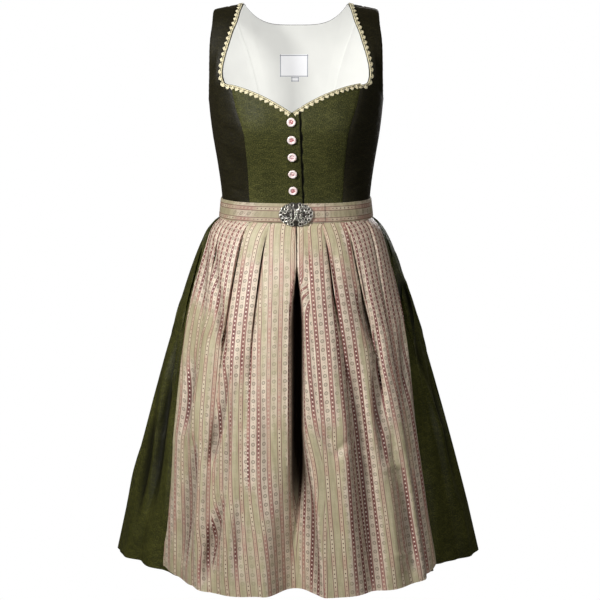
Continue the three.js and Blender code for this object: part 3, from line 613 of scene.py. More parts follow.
# ---------------------------------------------------------------- backs and their lining
# The side backs and the centre back are cut from the same jacquard. An ivory lining is sewn in
# behind them, and shows through the open neck.
BACK_NECK_Z, BACK_NECK_POWER = -0.038, 3.8
LINING_IN, LINING_WALL, SIDE_SEAM_LAP = 0.0020, 0.0008, 0.001
back_seam = smooth_line(
    np.vstack(
        [
            [seen_at(0.046, WAIST_SEAM_Z + 1e-5, True)[0], WAIST_ROW],
            seen_at(*np.transpose(BACK_SEAM_LINE), True),
            [math.pi - shoulder_angle((SHOULDER_INNER + SHOULDER_OUTER) / 2), 0],
        ]
    ),
    SEAM_STEPS + NECK_STEPS,
)


def fan(top, left, right):
    """A grid between two seams that climb all the way, its columns keeping their share of the
    width from each point of the top edge down."""

    def angle_at(line, row):
        return np.interp(-row, -line[:, 1], line[:, 0])

    start, end = angle_at(left, top[:, 1]), angle_at(right, top[:, 1])
    share = (top[:, 0] - start) / (end - start)
    up = 1 - left[:, 1:] / WAIST_ROW
    row = WAIST_ROW + (top[None, :, 1] - WAIST_ROW) * up
    low, high = angle_at(left, row), angle_at(right, row)
    return np.stack([low + (high - low) * share[None], row], -1)


def side_back(side):
    """The domain between the side and back seams. It laps over the side seam by a hair, in
    radians, which leaves no crack there."""
    left = np.vstack([side_seam - [SIDE_SEAM_LAP, 0], behind(armhole)[1:]])
    waist = np.linspace(left[0], back_seam[0], 25)
    domain = between_edges(waist, np.linspace(left[-1], back_seam[-1], 25), left, back_seam)
    domain[..., 1] = np.maximum(domain[..., 1], 0)
    return domain if side > 0 else (domain * [-1, 1])[:, ::-1]


def on_back(x, z):
    """(angle, row) of (x, z) points on the back, the angles running on past the centre back."""
    points = seen_at(x, z, True)
    points[..., 0] = np.where(points[..., 0] < 0, points[..., 0] + math.tau, points[..., 0])
    return points


def centre_back():
    """The domain between the two back seams, under half of each shoulder seam and a neckline that
    is lowest in the middle: its height is 1 - |share|^power of the way across."""
    shoulder = behind(shoulder_seam[:13])[::-1]
    share = np.cos(math.pi * np.linspace(0, 1, 65)[3:-3])
    neck = on_back(share * SHOULDER_INNER, BACK_NECK_Z * (1 - np.abs(share) ** BACK_NECK_POWER))
    far = (shoulder * [-1, 1] + [math.tau, 0])[::-1]
    return fan(np.vstack([shoulder, neck, far]), back_seam, back_seam * [-1, 1] + [math.tau, 0])


BACKS = {"side_back_right": side_back(-1), "side_back_left": side_back(1), "back": centre_back()}
for node, domain in BACKS.items():
    dress_piece(bodice_panel(node + "_cloth", domain, ["left", "right"]), node)
    inside = bodice_panel(
        node + "_lining_cloth", domain, ["left", "right"], 0, lining, lining, LINING_WALL, LINING_IN
    )
    dress_piece(inside, node + "_lining", rests_on=[node + "_cloth"])

# ---------------------------------------------------------------- label and size tab
# A woven label with a grey border, and the folded size tab below it, stitched to the lining at
# the back of the neck. Both carry no lettering.
LABEL_IN, LABEL_WALL, BORDER_IN, BORDER_HALF = 0.0031, 0.0006, 0.0011, 0.0006


def woven_label(name, wide, tall):
    """White satin with a grey border just inside the edges of a wide by tall patch. It glows, white on the
    ground and grey on the border: painted light.
    """
    made, shader, start = material(name, Roughness=0.5, Specular_IOR_Level=0.3)
    # Painted light: the label glows though no lamp is in it.
    shader.inputs["Emission Strength"].default_value = 0.56
    place, across, up = cloth_place(start)
    sides = across.math("ABSOLUTE").near(wide / 2 - BORDER_IN, BORDER_HALF, 0.0004)
    ends = (up - tall / 2).math("ABSOLUTE").near(tall / 2 - BORDER_IN, BORDER_HALF, 0.0004)
    border = sides.math("MAXIMUM", ends)
    feed((border * 0.9).mixed((0.40, 0.40, 0.42), (0.10, 0.11, 0.16)), shader, "Base Color")
    feed(border.mixed((1.0, 1.0, 1.0), (0.12, 0.12, 0.14)), shader, "Emission Color")
    height = woven(across, up, 0.0005) * 0.3 + border
    emboss(height, shader, 0.25, 0.0003)
    return made


PATCHES = {  # left, right, bottom, top, how the cloth is laid and how many times as long it is cut
    "label": (-0.030, 0.022, -0.132, -0.091, "laid", 1.02),
    "size_tab": (-0.009, 0.005, -0.141, -0.1326, "folded", 2.2),
}
for node, (left, right, bottom, top, held, times) in PATCHES.items():
    x = np.linspace(right, left, 27)[None]
    domain = on_back(x, np.linspace(bottom, top, 17)[:, None])
    wide, tall = right - left, top - bottom
    cloth = woven_label(node + "_satin", wide, tall)
    patch = bodice_panel(node + "_cloth", domain, [], 0.0, cloth, cloth, LABEL_WALL, LABEL_IN)
    cut = (wide, times * tall, wide * tall)
    dress_piece(patch, node, ["back_lining_cloth"])

# ---------------------------------------------------------------- neck trim
# A cream cord braid: leaves side by side on a twisted cord, machine-sewn along the neckline from
# each shoulder seam to its point.
TRIM_NEAR, CORD_WIDE, LEAF_WIDE, LEAF_PITCH, TRIM_LIFT = 0.0008, 0.0017, 0.0066, 0.0100, 0.0006
LEAF_STEPS, TRIM_COLUMNS, LEAF_LEAN = 14, 15, 1.5


def braid_thread():
    """Cream thread that slants in each leaf, with a dark gap beside the cord between the leaves."""
    made, shader, start = material("cream_braid", Roughness=0.55, Sheen_Weight=0.1, Specular_IOR_Level=0.35)
    place, along, out = cloth_place(start)
    leaf = along.from_middle(LEAF_PITCH)
    thread = ((leaf.math("ABSOLUTE") + out * 0.8) * (math.tau / 0.0011)).math("SINE")
    gap = leaf.math("ABSOLUTE").clipped(0.0006, 0.0016) * out.near(CORD_WIDE + 0.0009, 0.0008, 0.0005)
    colour = thread.clipped(-1, 0.4).mixed((0.56, 0.47, 0.26), (0.90, 0.83, 0.58))
    feed((gap * 0.85).mixed(colour, (0.055, 0.050, 0.020)), shader, "Base Color")
    height = thread - gap * 3
    emboss(height, shader, 0.5, 0.0004)
    return made


def braid(name, side):
    """The braid's upper face stands on the bodice: at each place along the neckline it reaches
    out by the cord and by a leaf, whose width is a sine over its pitch."""
    x = np.linspace(V_POINT_X + side * 0.0012, side * NECK_SIDE[0][0], 40)[:-1]
    raw = np.vstack([seen_at(x, neck_z(x)), neck_side * [side, 1]])
    total = lengths(torso(*raw.T)[None], 1)[0, -1]
    leaves = round(total / LEAF_PITCH)
    angle, row = smooth_line(raw, leaves * LEAF_STEPS).T
    here = torso(angle, row)
    along = np.gradient(here, axis=0)
    normal = form_normals(angle, row)
    away = -side * np.cross(normal, along)
    away /= np.linalg.norm(away, axis=1, keepdims=True)
    turn = np.mod(np.arange(len(here))[:, None] / LEAF_STEPS, 1)
    leaf = 0.25 + 0.75 * np.sin(math.pi * turn**LEAF_LEAN) ** 0.9
    knot = np.exp(-((np.arange(len(here))[:, None] / LEAF_STEPS / 0.45) ** 2))
    share = np.linspace(0, 1, TRIM_COLUMNS)[None]
    leaf = np.maximum(leaf, knot)
    reach = (CORD_WIDE + LEAF_WIDE * leaf) * share
    in_leaf = np.clip((reach - CORD_WIDE) / (LEAF_WIDE * leaf), 0, 1)
    cord = np.sqrt(np.clip(1 - (2 * reach / CORD_WIDE - 1) ** 2, 0, 1))
    petal = np.sqrt(np.clip(1 - (2 * in_leaf - 1) ** 2, 0, 1)) * leaf
    vein = np.exp(-(((in_leaf - 0.5) / 0.13) ** 2))
    high = 0.0003 + np.where(reach < CORD_WIDE, 0.0010 * cord, 0.0011 * petal - 0.0004 * vein * leaf)
    base = here[:, None] + away[:, None] * (TRIM_NEAR + reach)[..., None] + normal[:, None] * TRIM_LIFT
    upper = base + normal[:, None] * high[..., None]
    run = lengths(here[None], 1)[0][:, None] * leaves * LEAF_PITCH / total
    uv = np.stack([run + 0 * reach, reach], -1)
    if side < 0:
        base, upper, uv = base[:, ::-1], upper[:, ::-1], uv[:, ::-1]
    return closed_wall(name, upper, base, uv, [cream_braid])


cream_braid = braid_thread()
for node, side in (("neck_trim_right", -1), ("neck_trim_left", 1)):
    carriers = [panel + node[9:] + "_cloth" for panel in ("front", "side_front")]
    dress_piece(braid(node + "_cloth", side), node, carriers)

# ---------------------------------------------------------------- buttons
# Five cast buttons, sewn by a shank to the right front's edge: a pearly rim round a rose enamel
# centre with a small flower in relief.
BUTTON_PROFILE = np.array(  # radius and height in mm, from the middle of the face to the shank
    [
        [0.3, 3.5], [0.9, 3.55], [1.5, 3.3], [2.2, 3.15], [3.0, 3.1], [3.7, 3.15], [4.1, 3.45],
        [4.6, 3.85], [5.3, 4.05], [6.1, 4.05], [6.9, 3.75], [7.45, 3.25], [7.7, 2.6], [7.5, 2.0],
        [6.9, 1.65], [5.5, 1.5], [2.5, 1.45], [2.2, 1.2], [2.2, 0.0],
    ]
)
BUTTON_TOP, BUTTON_BOTTOM, BUTTON_LIFT = (-0.008, -0.199), (-0.005, -0.319), 0.0005
SPOKES, ENAMEL_RINGS = 48, 5


def round_faces(rows, sides, joined=False, capped=True):
    """Faces of a grid of rings, as lists of point numbers. The end rings are joined to each other,
    capped or left open."""
    at = np.arange(rows * sides).reshape(rows, sides)
    here = at if joined else at[:-1]
    ahead = np.roll(at, -1, 0) if joined else at[1:]
    faces = np.stack([here, ahead, np.roll(ahead, -1, 1), np.roll(here, -1, 1)], -1)
    faces = faces.reshape(-1, 4).tolist()
    return faces if joined or not capped else faces + [at[0].tolist(), at[-1, ::-1].tolist()]


def pearl():
    """A pearly glaze, clouded on the button's own coordinates."""
    made, shader, start = material("pearl_rim", Roughness=0.28, Coat_Weight=0.4)
    place = object_place(start)
    colour = noise(place, 260, 2).clipped(0.35, 0.65).mixed((0.86, 0.66, 0.63), (0.93, 0.84, 0.82))
    feed(colour, shader, "Base Color")
    return made


def enamel(name, low, high):
    """Mottled enamel between two colours."""
    made, shader, start = material(name, Roughness=0.32, Coat_Weight=0.3)
    place = object_place(start)
    mottled = noise(place, 480, 2)
    feed(mottled.clipped(0.40, 0.60).mixed(low, high), shader, "Base Color")
    emboss(mottled, shader, 0.4, 0.0004)
    return made


def button(name, x, z, centre):
    """The profile turned round the form's normal at (x, z), with a flower of six petals: a cosine
    of six times the angle, under a bell over the radius."""
    angle, row = seen_at(x, z)
    point = torso(angle, row)
    normal = form_normals(angle, row)
    right = np.cross([0, 0, 1], normal)
    right /= np.linalg.norm(right)
    up = np.cross(normal, right)
    turn = np.linspace(0, math.tau, SPOKES, endpoint=False)[None]
    radius, high = BUTTON_PROFILE[:, :1], BUTTON_PROFILE[:, 1:]
    petals = 0.30 * np.cos(6 * turn) * np.exp(-(((radius - 2.3) / 0.9) ** 2)) * (high > 3)
    across = radius[..., None] * (np.cos(turn)[..., None] * right + np.sin(turn)[..., None] * up)
    points = point + (across + (high + petals)[..., None] * normal) / 1000 + normal * BUTTON_LIFT
    faces = round_faces(len(BUTTON_PROFILE), SPOKES)
    mesh = bpy.data.meshes.new(name)
    mesh.from_pydata(points.reshape(-1, 3), [], faces)
    slot = np.zeros(len(faces), int)
    slot[: ENAMEL_RINGS * SPOKES] = 1
    slot[-2] = 1  # the cap in the middle of the face
    return placed(mesh, [pearl_rim, centre], slot)


pearl_rim = pearl()
rosy = enamel("rose_enamel", (0.35, 0.10, 0.11), (0.62, 0.30, 0.30))
pale = enamel("pale_rose_enamel", (0.60, 0.36, 0.36), (0.88, 0.70, 0.68))
for i, centre in enumerate((rosy, rosy, pale, pale, rosy)):
    x, z = (a + (b - a) * i / 4 for a, b in zip(BUTTON_TOP, BUTTON_BOTTOM))
    made = button(f"button_{i + 1}_cast", x, z, centre)
    dress_piece(made, f"button_{i + 1}")

# ---------------------------------------------------------------- the form of the skirt
SKIRT = np.array(  # height, half width, depth in front, depth behind, squareness
    [
        [-0.3603, 0.1324, 0.0978, 0.0934, 2.3],
        [-0.3772, 0.1364, 0.1016, 0.0988, 2.3],
        [-0.386, 0.1475, 0.1055, 0.110, 2.25],
        [-0.404, 0.161, 0.114, 0.124, 2.18],
        [-0.440, 0.178, 0.129, 0.141, 2.08],
        [-0.500, 0.200, 0.150, 0.160, 2],
        [-0.600, 0.232, 0.173, 0.184, 2],
        [-0.740, 0.273, 0.204, 0.212, 2],
        [-0.880, 0.311, 0.233, 0.235, 2],
        [-1.004, 0.341, 0.257, 0.252, 2],
    ]
)
BAND_TOP_Z, BAND_BOTTOM_Z, HEM_Z = -0.342, -0.376, -1.004
HIP_DOWN, WAIST_DEEP = 0.54, 1.2
# Each line: degrees from the front at the waist, hip and hem; mm deep at the hip and hem; mm of
# the next crest at the hem; share of the way to the next line that its valley opens to at the
# hem; mm by which the hem rides up; mm deep where it is pressed; and which side laps over.
PLEATS = {
    "side_right": (-90, -90, -90, 3, 12, 19, 0.5, 0, 2, -1),
    "side_fold_right": (-87, -72, -68.5, 9, 39, 34, 0.5, 6, 8, -1),
    "apron_right": (-83, -64, -51.5, 5, 44, 33, 0.5, 6, 4, -1),
    "edge_fold_right": (-62, -50, -33, 5, 13, 3, 0.5, 4, 6, -1),
    "outer_pleat_right": (-32, -36.5, -25.5, 13, 9, 0, 0.5, -2, 19, -1),
    "inner_pleat_right": (-14, -21.5, -11.3, 11, 6, 0, 0.5, -1, 17, -1),
    "centre_pleat": (0, 0.5, 0, 34, 52, 0, 0.87, 0, 58, 0),
    "small_fold_left": (8, 8, 10.5, 1, 1, 0, 0.5, -1, 3, 1),
    "inner_pleat_left": (16, 22, 23.7, 13, 12, 2, 0.5, 1, 16, 1),
    "outer_pleat_left": (35, 38, 38, 11, 10, 7, 0.5, 5, 18, 1),
    "edge_fold_left": (64, 50, 46, 6, 24, 26, 0.5, 10, 8, 1),
    "apron_left": (83, 62.5, 55.5, 5, 60, 48, 0.5, 7, 4, 1),
    "side_fold_left": (88, 72, 73, 9, 36, 13, 0.5, 3, 8, 1),
    "side_left": (90, 90, 90, 1, 1, 2, 0.5, 2, 2, 1),
    "back_1": (101, 101, 101, 12, 27, 3, 0.5, 0, 12, 1),
    "back_2": (114, 114, 113, 15, 24, 0, 0.5, 0, 14, 1),
    "back_3": (127, 126, 126, 13, 32, 4, 0.5, 0, 13, 1),
    "back_4": (139, 140, 140, 16, 26, 0, 0.5, 0, 15, 1),
    "back_5": (153, 153, 153, 14, 34, 3, 0.5, 0, 13, 1),
    "back_6": (166, 167, 167, 16, 26, 0, 0.5, 0, 14, 1),
    "centre_back": (180, 180, 180, 14, 32, 5, 0.5, 0, 16, 0),
    "back_7": (191, 192, 192, 15, 26, 0, 0.5, 0, 14, -1),
    "back_8": (202, 203, 203, 15, 32, 3, 0.5, 0, 13, -1),
    "back_9": (213, 213, 214, 14, 27, 0, 0.5, 0, 14, -1),
    "back_10": (225, 225, 225, 16, 33, 4, 0.5, 0, 12, -1),
    "back_11": (236, 236, 237, 13, 25, 2, 0.5, 0, 13, -1),
    "back_12": (248, 249, 249, 15, 32, 4, 0.5, 0, 12, -1),
    "back_13": (260, 261, 261, 12, 26, 5, 0.5, 0, 10, -1),
    "side_right_again": (270, 270, 270, 3, 12, 19, 0.5, 0, 2, -1),
}
AT_WAIST, AT_HIP, AT_HEM, HIP_DEEP, HEM_DEEP, HEM_CREST, OPENS, HEM_RISE, PRESSED, LAPS = range(10)
pleat_sizes = np.array(list(PLEATS.values()), float)
pleat_number = {name: i for i, name in enumerate(PLEATS)}
TUCK_HALF, TUCK_LAP, GROOVE = 0.0020, 0.0048, 0.0065


def smooth(t):
    """0 up to 0 and 1 from 1, with level ends: 3t^2 - 2t^3."""
    t = np.clip(t, 0, 1)
    return t * t * (3 - 2 * t)


def three_way(waist, hip, hem, down):
    """The parabola through a value at the waist, at the hip and at the hem."""
    bend = (hip - waist - HIP_DOWN * (hem - waist)) / (HIP_DOWN**2 - HIP_DOWN)
    return waist + (hem - waist - bend) * down + bend * down * down


def skirt_surface(u, v, extra=0.0):
    """The skirt's outer face at pleat line number u and row v, and how far it lies in a narrow fold.
    Between two lines it sinks from a crest into the valley of each. Towards the waist a valley is
    a knife pleat: one side drops steeply and laps over the other, which climbs out of a groove
    and then slowly across its panel. The centre line is a box pleat, steep on both sides."""
    u, v = np.broadcast_arrays(np.asarray(u, float), np.asarray(v, float))
    z, half, front, back, square = np.moveaxis(through_rows(SKIRT, v), -1, 0)
    down = np.sqrt(np.clip((z - BAND_BOTTOM_Z) / (HEM_Z - BAND_BOTTOM_Z), 0, 1))
    first = np.clip(np.floor(u).astype(int), 0, len(PLEATS) - 2)
    share = u - first
    ends = [pleat_sizes[first], pleat_sizes[first + 1]]
    angles = [three_way(e[..., AT_WAIST], e[..., AT_HIP], e[..., AT_HEM], down) for e in ends]
    crest = three_way(0, 0.2 * ends[0][..., HEM_CREST], ends[0][..., HEM_CREST], down)
    width = np.radians(angles[1] - angles[0]) * (half + front) / 2
    tuck = np.minimum(TUCK_HALF / width, 0.2)
    sink = crest
    tight = 0 * crest
    moved = share
    for e, t, way in ((ends[0], share, 1), (ends[1], 1 - share, -1)):
        side = e[..., LAPS] * way
        is_box = side == 0
        lapped = 1 - smooth(np.where(is_box, (down - 0.70) / 0.30, (down - 0.36) / 0.40))
        lap = TUCK_LAP / width * lapped * smooth((down - 0.02) / 0.12)
        deep = np.maximum(0, three_way(WAIST_DEEP, e[..., HIP_DEEP], e[..., HEM_DEEP], down))
        sinks = smooth(np.where(is_box, down / 0.45, (down - 0.10) / 0.26))
        pressed = WAIST_DEEP + (e[..., PRESSED] - WAIST_DEEP) * sinks
        wide = 0.3 + (e[..., OPENS] - 0.3) * down
        power = 0.85 + 1.3 * np.maximum(0, wide - 0.5)
        open_valley = 0.5 + 0.5 * np.cos(math.pi * np.clip(t / wide, 0, 1) ** power)
        groove = 1 - smooth((t * width - 0.002) / GROOVE)
        slope = 1 - smooth((t - tuck) / (0.95 - tuck)) ** 0.8
        under = smooth((t + tuck) / (2 * tuck)) * (0.68 * groove + 0.32 * slope)
        over = smooth((tuck - t) / (2 * tuck))
        gap = 0.0005 + 0.0105 * smooth((down - 0.32) / 0.22)
        box = 1 - smooth((t * width - 0.45 * gap) / (0.8 * gap + 0.001))
        knife = np.where(side < 0, under, np.where(side > 0, over, box))
        pull = t / tuck * np.exp(0.5 * (1 - (t / tuck) ** 2)) * np.where(is_box, 0, 1)
        sink = sink + (1 - lapped) * (deep - crest) * open_valley + lapped * (pressed - crest) * knife
        shown = smooth((down - 0.17) / 0.10) * (1 - smooth((down - 0.38) / 0.16))
        shown = np.where(is_box, 1 - smooth((down - 0.80) / 0.14), shown * smooth((pressed - 3) / 9))
        inside = smooth(np.where(is_box, (knife - 0.10) / 0.45, (knife - 0.26) / 0.36))
        tight = np.maximum(tight, shown * inside)
        moved = moved - way * lap * pull
    held = smooth((BAND_BOTTOM_Z + 0.012 - z) / 0.024)
    angle = np.radians(angles[0] + (angles[1] - angles[0]) * moved)
    x, y = ring(angle, half, front, back, square)
    depth = np.where(np.cos(angle) >= 0, front, back)
    out = np.stack([x / half**2, y / depth**2, np.zeros_like(x)], -1)
    out = out / np.linalg.norm(out, axis=-1, keepdims=True)
    rise = ends[0][..., HEM_RISE] * (1 - share) + ends[1][..., HEM_RISE] * share
    rise = rise * smooth(v - len(SKIRT) + 2)
    points = np.stack([x, y, z + rise / 1000], -1) - out * (sink * held / 1000 + extra)[..., None]
    return points, tight * held


def rows_up(low_z, high_z, count):
    """Row numbers of the skirt from its hem up, closer together towards the waist."""
    share = np.linspace(0, 1, count) ** 0.9
    z = low_z + (high_z - low_z) * share
    return np.interp(-z, -SKIRT[:, 0], np.arange(len(SKIRT)))


def columns_between(start, end, per_line):
    """Pleat line numbers from one line to another, closer together near each line."""
    share = 0.5 - 0.5 * np.cos(math.pi * np.arange(per_line) / per_line)
    lines = np.arange(pleat_number[start], pleat_number[end])
    return np.r_[(lines[:, None] + share).ravel(), pleat_number[end]]


# ---------------------------------------------------------------- skirt
# Three widths of the jacquard, sewn at the sides and the centre back, and knife-pleated into the
# waist seam. The front runs on smoothly beneath the apron. The hem is turned up by hand.
SKIRT_WALL = 0.0011
SKIRT_CREASES = [  # x0, z0, x1, z1, half width, height, in mm
    (-206, -540, -246, -760, 8, -11), (-236, -680, -262, -900, 9, -13), (-226, -600, -262, -800, 7, 6),
    (-258, -700, -296, -930, 10, -15), (-280, -740, -312, -960, 8, 6), (-222, -760, -236, -960, 8, 6),
    (176, -450, 214, -590, 8, -10), (196, -500, 262, -740, 10, -14), (184, -440, 240, -640, 7, 6),
    (228, -600, 290, -900, 10, 9), (250, -660, 304, -900, 9, -14), (280, -760, 318, -960, 8, 5),
    (236, -760, 262, -960, 10, 7),
]

APRON_CREASES = [
    (-146, -420, -124, -600, 6, -9.5), (-158, -400, -168, -540, 6, -6), (-135, -450, -142, -580, 5, 4),
    (-182, -620, -196, -745, 6, -9.5), (-171, -640, -184, -760, 5, 4.5), (-120, -620, -134, -730, 6, -10.5),
    (-132, -690, -150, -790, 6, -10), (-108, -600, -122, -760, 5, 4.5), (-106, -640, -128, -850, 7, -7.5),
    (-180, -760, -200, -960, 10, -12), (-160, -780, -174, -940, 8, 4.5), (-131, -850, -160, -990, 9, -12.5),
    (-112, -840, -124, -990, 9, 5), (-96, -850, -104, -990, 7, -7), (-62, -640, -52, -880, 10, -6.5),
    (-78, -660, -84, -860, 9, 4), (8, -740, 36, -1000, 9, -11.5), (40, -715, 66, -768, 6, -5),
    (66, -768, 90, -738, 6, -5.5), (30, -690, 58, -730, 8, 4), (81, -600, 93, -1010, 11, 5.5),
    (96, -600, 142, -1010, 13, -14), (112, -500, 134, -580, 7, -8.5), (140, -560, 148, -730, 7, -9),
    (137, -640, 156, -790, 7, -7.5), (152, -600, 166, -760, 7, 4.5), (187, -560, 196, -700, 6, -6.5),
    (145, -793, 192, -795, 3.5, 3.5), (168, -940, 200, -950, 4, 3.5), (184, -780, 206, -980, 9, -8.5),
    (164, -820, 176, -980, 9, 4.5), (110, -440, 128, -520, 5, -5), (65, -420, 76, -560, 6, -5),
    (-45, -450, -40, -640, 10, 2.8), (60, -560, 66, -720, 8, 3.5),
]


def skirt_panel(node, start, end, per_line, rows, tucked=False):
    """A width of the skirt between two pleat lines, creased, and set in where the apron covers it."""
    u = columns_between(start, end, per_line)[None]
    v = rows_up(HEM_Z, SKIRT[0, 0], rows)[:, None]
    inward = 0.0
    if tucked:
        edge = np.minimum(u - pleat_number["apron_right"], pleat_number["apron_left"] - u)
        inward = 0.0040 * smooth(edge / 0.25)
    points, tight = skirt_surface(u, v, inward)
    normals = grid_normals(points)
    outer = creased(points, normals, SKIRT_CREASES + (APRON_CREASES if tucked else []), -1)
    pressed = ((points - outer) * normals).sum(-1)
    inner = outer - grid_normals(outer) * SKIRT_WALL
    made = closed_wall(node + "_cloth", outer, inner, cloth_map(outer), [skirt_cloth, skirt_cloth])
    # Painted shade: the skirt is darker in the narrow pleat folds and along the deeper creases.
    store(made, "cavity", np.maximum(0.5 * tight, 0.75 * np.clip(pressed / 0.011, 0, 1)))
    return made


SKIRT_PANELS = {  # from line, to line, columns a pleat, rows, flat width, flat length, area
    "skirt_front": ("side_right", "side_left", 20, 120, 1.36, 0.66, 0.62),
    "skirt_back_left": ("side_left", "centre_back", 18, 110, 0.88, 0.66, 0.37),
    "skirt_back_right": ("centre_back", "side_right_again", 18, 110, 0.88, 0.66, 0.37),
}
for node, (start, end, per_line, rows, *cut) in SKIRT_PANELS.items():
    panel = skirt_panel(node, start, end, per_line, rows, node == "skirt_front")
    dress_piece(panel, node)

# ---------------------------------------------------------------- striped satin
# The apron's cloth: rose stripes with woven dots between pale bands with small rings. It is shot, and its
# face is painted by how it turns to the light: deep rose where it turns away, sage where it faces the light.
REPEAT, ROSE_BAND, DOT_PITCH, RING_PITCH = 0.019, 0.0075, 0.0074, 0.015


def striped_satin(name, across_first=True):
    """A material whose stripes run along the cloth's length, or across it. The piece's rose attribute says
    how far it shows its rose face, painted by how the cloth turns from the light, and its stored fold shade
    paints shade into the colour in a fold."""
    made, shader, start = material(
        name, Sheen_Weight=0.12, Sheen_Roughness=0.35, Sheen_Tint=(0.9, 0.75, 0.68), Specular_IOR_Level=0.4
    )
    place, first, second = cloth_place(start)
    across, up = (first, second) if across_first else (second, first)
    rose_level = stored(start, "rose")
    cavity = stored(start, "cavity")
    rose = (rose_level + (noise(place, 45, 2) - 0.5) * 0.7).clipped(0.15, 0.85)
    x = (across / REPEAT).math("FRACT") * REPEAT
    from_band = x - ROSE_BAND / 2
    in_band = from_band.near(0, ROSE_BAND / 2, 0.0004)
    lines = from_band.near(ROSE_BAND / 2 - 0.0005, 0.0007, 0.0003)
    lines = lines + from_band.near(0.0005 - ROSE_BAND / 2, 0.0007, 0.0003)
    dots_up = up.from_middle(DOT_PITCH)
    dot = (from_band * from_band + dots_up * dots_up * 0.7).math("SQRT").near(0, 0.0011, 0.0005)
    dash = from_band.near(0, 0.0014, 0.0006) * (1 - dots_up.near(0, 0.0018, 0.0006))
    from_pale = x - (REPEAT + ROSE_BAND) / 2
    away = from_pale.far(up.from_middle(RING_PITCH))
    flower = away.near(0.0026, 0.0009, 0.0006) + away.near(0, 0.0008, 0.0005)
    flower = flower + from_pale.far(up.from_middle(RING_PITCH, 0.5)).near(0, 0.0009, 0.0005)
    grain = noise(place, 220, 2, (1, 0.12, 1))
    pale = grain.clipped(0.3, 0.7).mixed((0.54, 0.43, 0.33), (0.70, 0.59, 0.46))
    pale = (flower * 0.8).mixed(pale, (0.21, 0.17, 0.12))
    # The rosiest places, turned furthest from the light, get a darker rose ground and darker dashes: painted
    # shade.
    strong = (rose_level + (noise(place, 30, 2) - 0.5) * 0.5).clipped(0.70, 1.15)
    ground = strong.mixed((0.49, 0.30, 0.235), (0.31, 0.125, 0.105))
    deep = dash.mixed(ground, strong.mixed((0.37, 0.175, 0.14), (0.105, 0.028, 0.026)))
    rose_face = in_band.mixed(pale, dot.mixed(deep, strong.mixed((0.62, 0.50, 0.38), (0.90, 0.82, 0.70))))
    sage = grain.clipped(0.3, 0.7).mixed((0.385, 0.330, 0.200), (0.475, 0.415, 0.265))
    sage = (flower * 0.16).mixed(sage, (0.22, 0.24, 0.14))
    chain = dot.mixed((0.60, 0.51, 0.36), (0.10, 0.055, 0.035))
    chain = (noise(place, 28, 1).clipped(0.4, 0.65) * 0.7).mixed(chain, (0.46, 0.29, 0.21))
    sage_face = in_band.mixed(sage, chain)
    face = (lines * 0.85).mixed(rose.mixed(sage_face, rose_face), (0.155, 0.060, 0.045))
    # Painted shade: the colour goes near black by the piece's stored fold shade.
    feed(cavity.clipped(0.05, 0.95).mixed(face, (0.045, 0.028, 0.013)), shader, "Base Color")
    feed(0.34 + grain * 0.2 + cavity * 0.4, shader, "Roughness")
    height = woven(across, up, 0.0006) * 0.3 + (lines + dot * in_band + flower * (1 - in_band)) * 0.8 + grain
    emboss(height, shader, 0.25, 0.0004)
    return made


# ---------------------------------------------------------------- apron
# One width and two part widths of the striped satin, hemmed, and gathered into the waistband in
# knife pleats that open out on the way down.
APRON_WALL, APRON_LIFT = 0.0007, 0.0017
CORNER_RISE_RIGHT, CORNER_RISE_LEFT = 0.009, 0.030
KNIFE_EDGE, BOX_EDGE = 5, 8  # columns from a pleat's line to its pressed edge
ROSE_FACE = [  # where the satin is painted rose, its shot face turned from the light, in mm: x0, z0, x1, z1, half width; how rose, how much painted shade
    (-110, -340, -166, -520, 36, 1.05, 0), (-81, -441, -114, -642, 20, 1, 0),
    (-74, -553, -78, -820, 11, 1.2, 0.12), (-54, -786, -48, -865, 18, 0.6, 0),
    (-28, -420, -35, -720, 28, 0.52, 0), (28, -425, 42, -720, 33, 0.95, 0),
    (109, -340, 175, -570, 40, 1.1, 0), (85, -455, 116, -1010, 20, 0.95, 0.3),
    (67, -440, 80, -635, 16, 0.85, 0), (154, -540, 170, -730, 30, 0.8, 0),
    (200, -600, 230, -1000, 11, 1, 0.24), (-190, -600, -232, -1000, 8, 0.8, 0.1),
    (142, -600, 157, -800, 7, 1.1, 0.25), (12, -790, 40, -1010, 10, 1, 0.22),
    (-137, -862, -168, -990, 7, 1, 0.25), (-70, -880, -76, -1000, 24, 0.4, 0.1),
    (-124, -640, -141, -765, 5, 0.8, 0.2),
]
GATHERED, GATHERS_DOWN = 0.85, (0.22, 0.40)  # extra cloth by the band in the side folds, and how far down


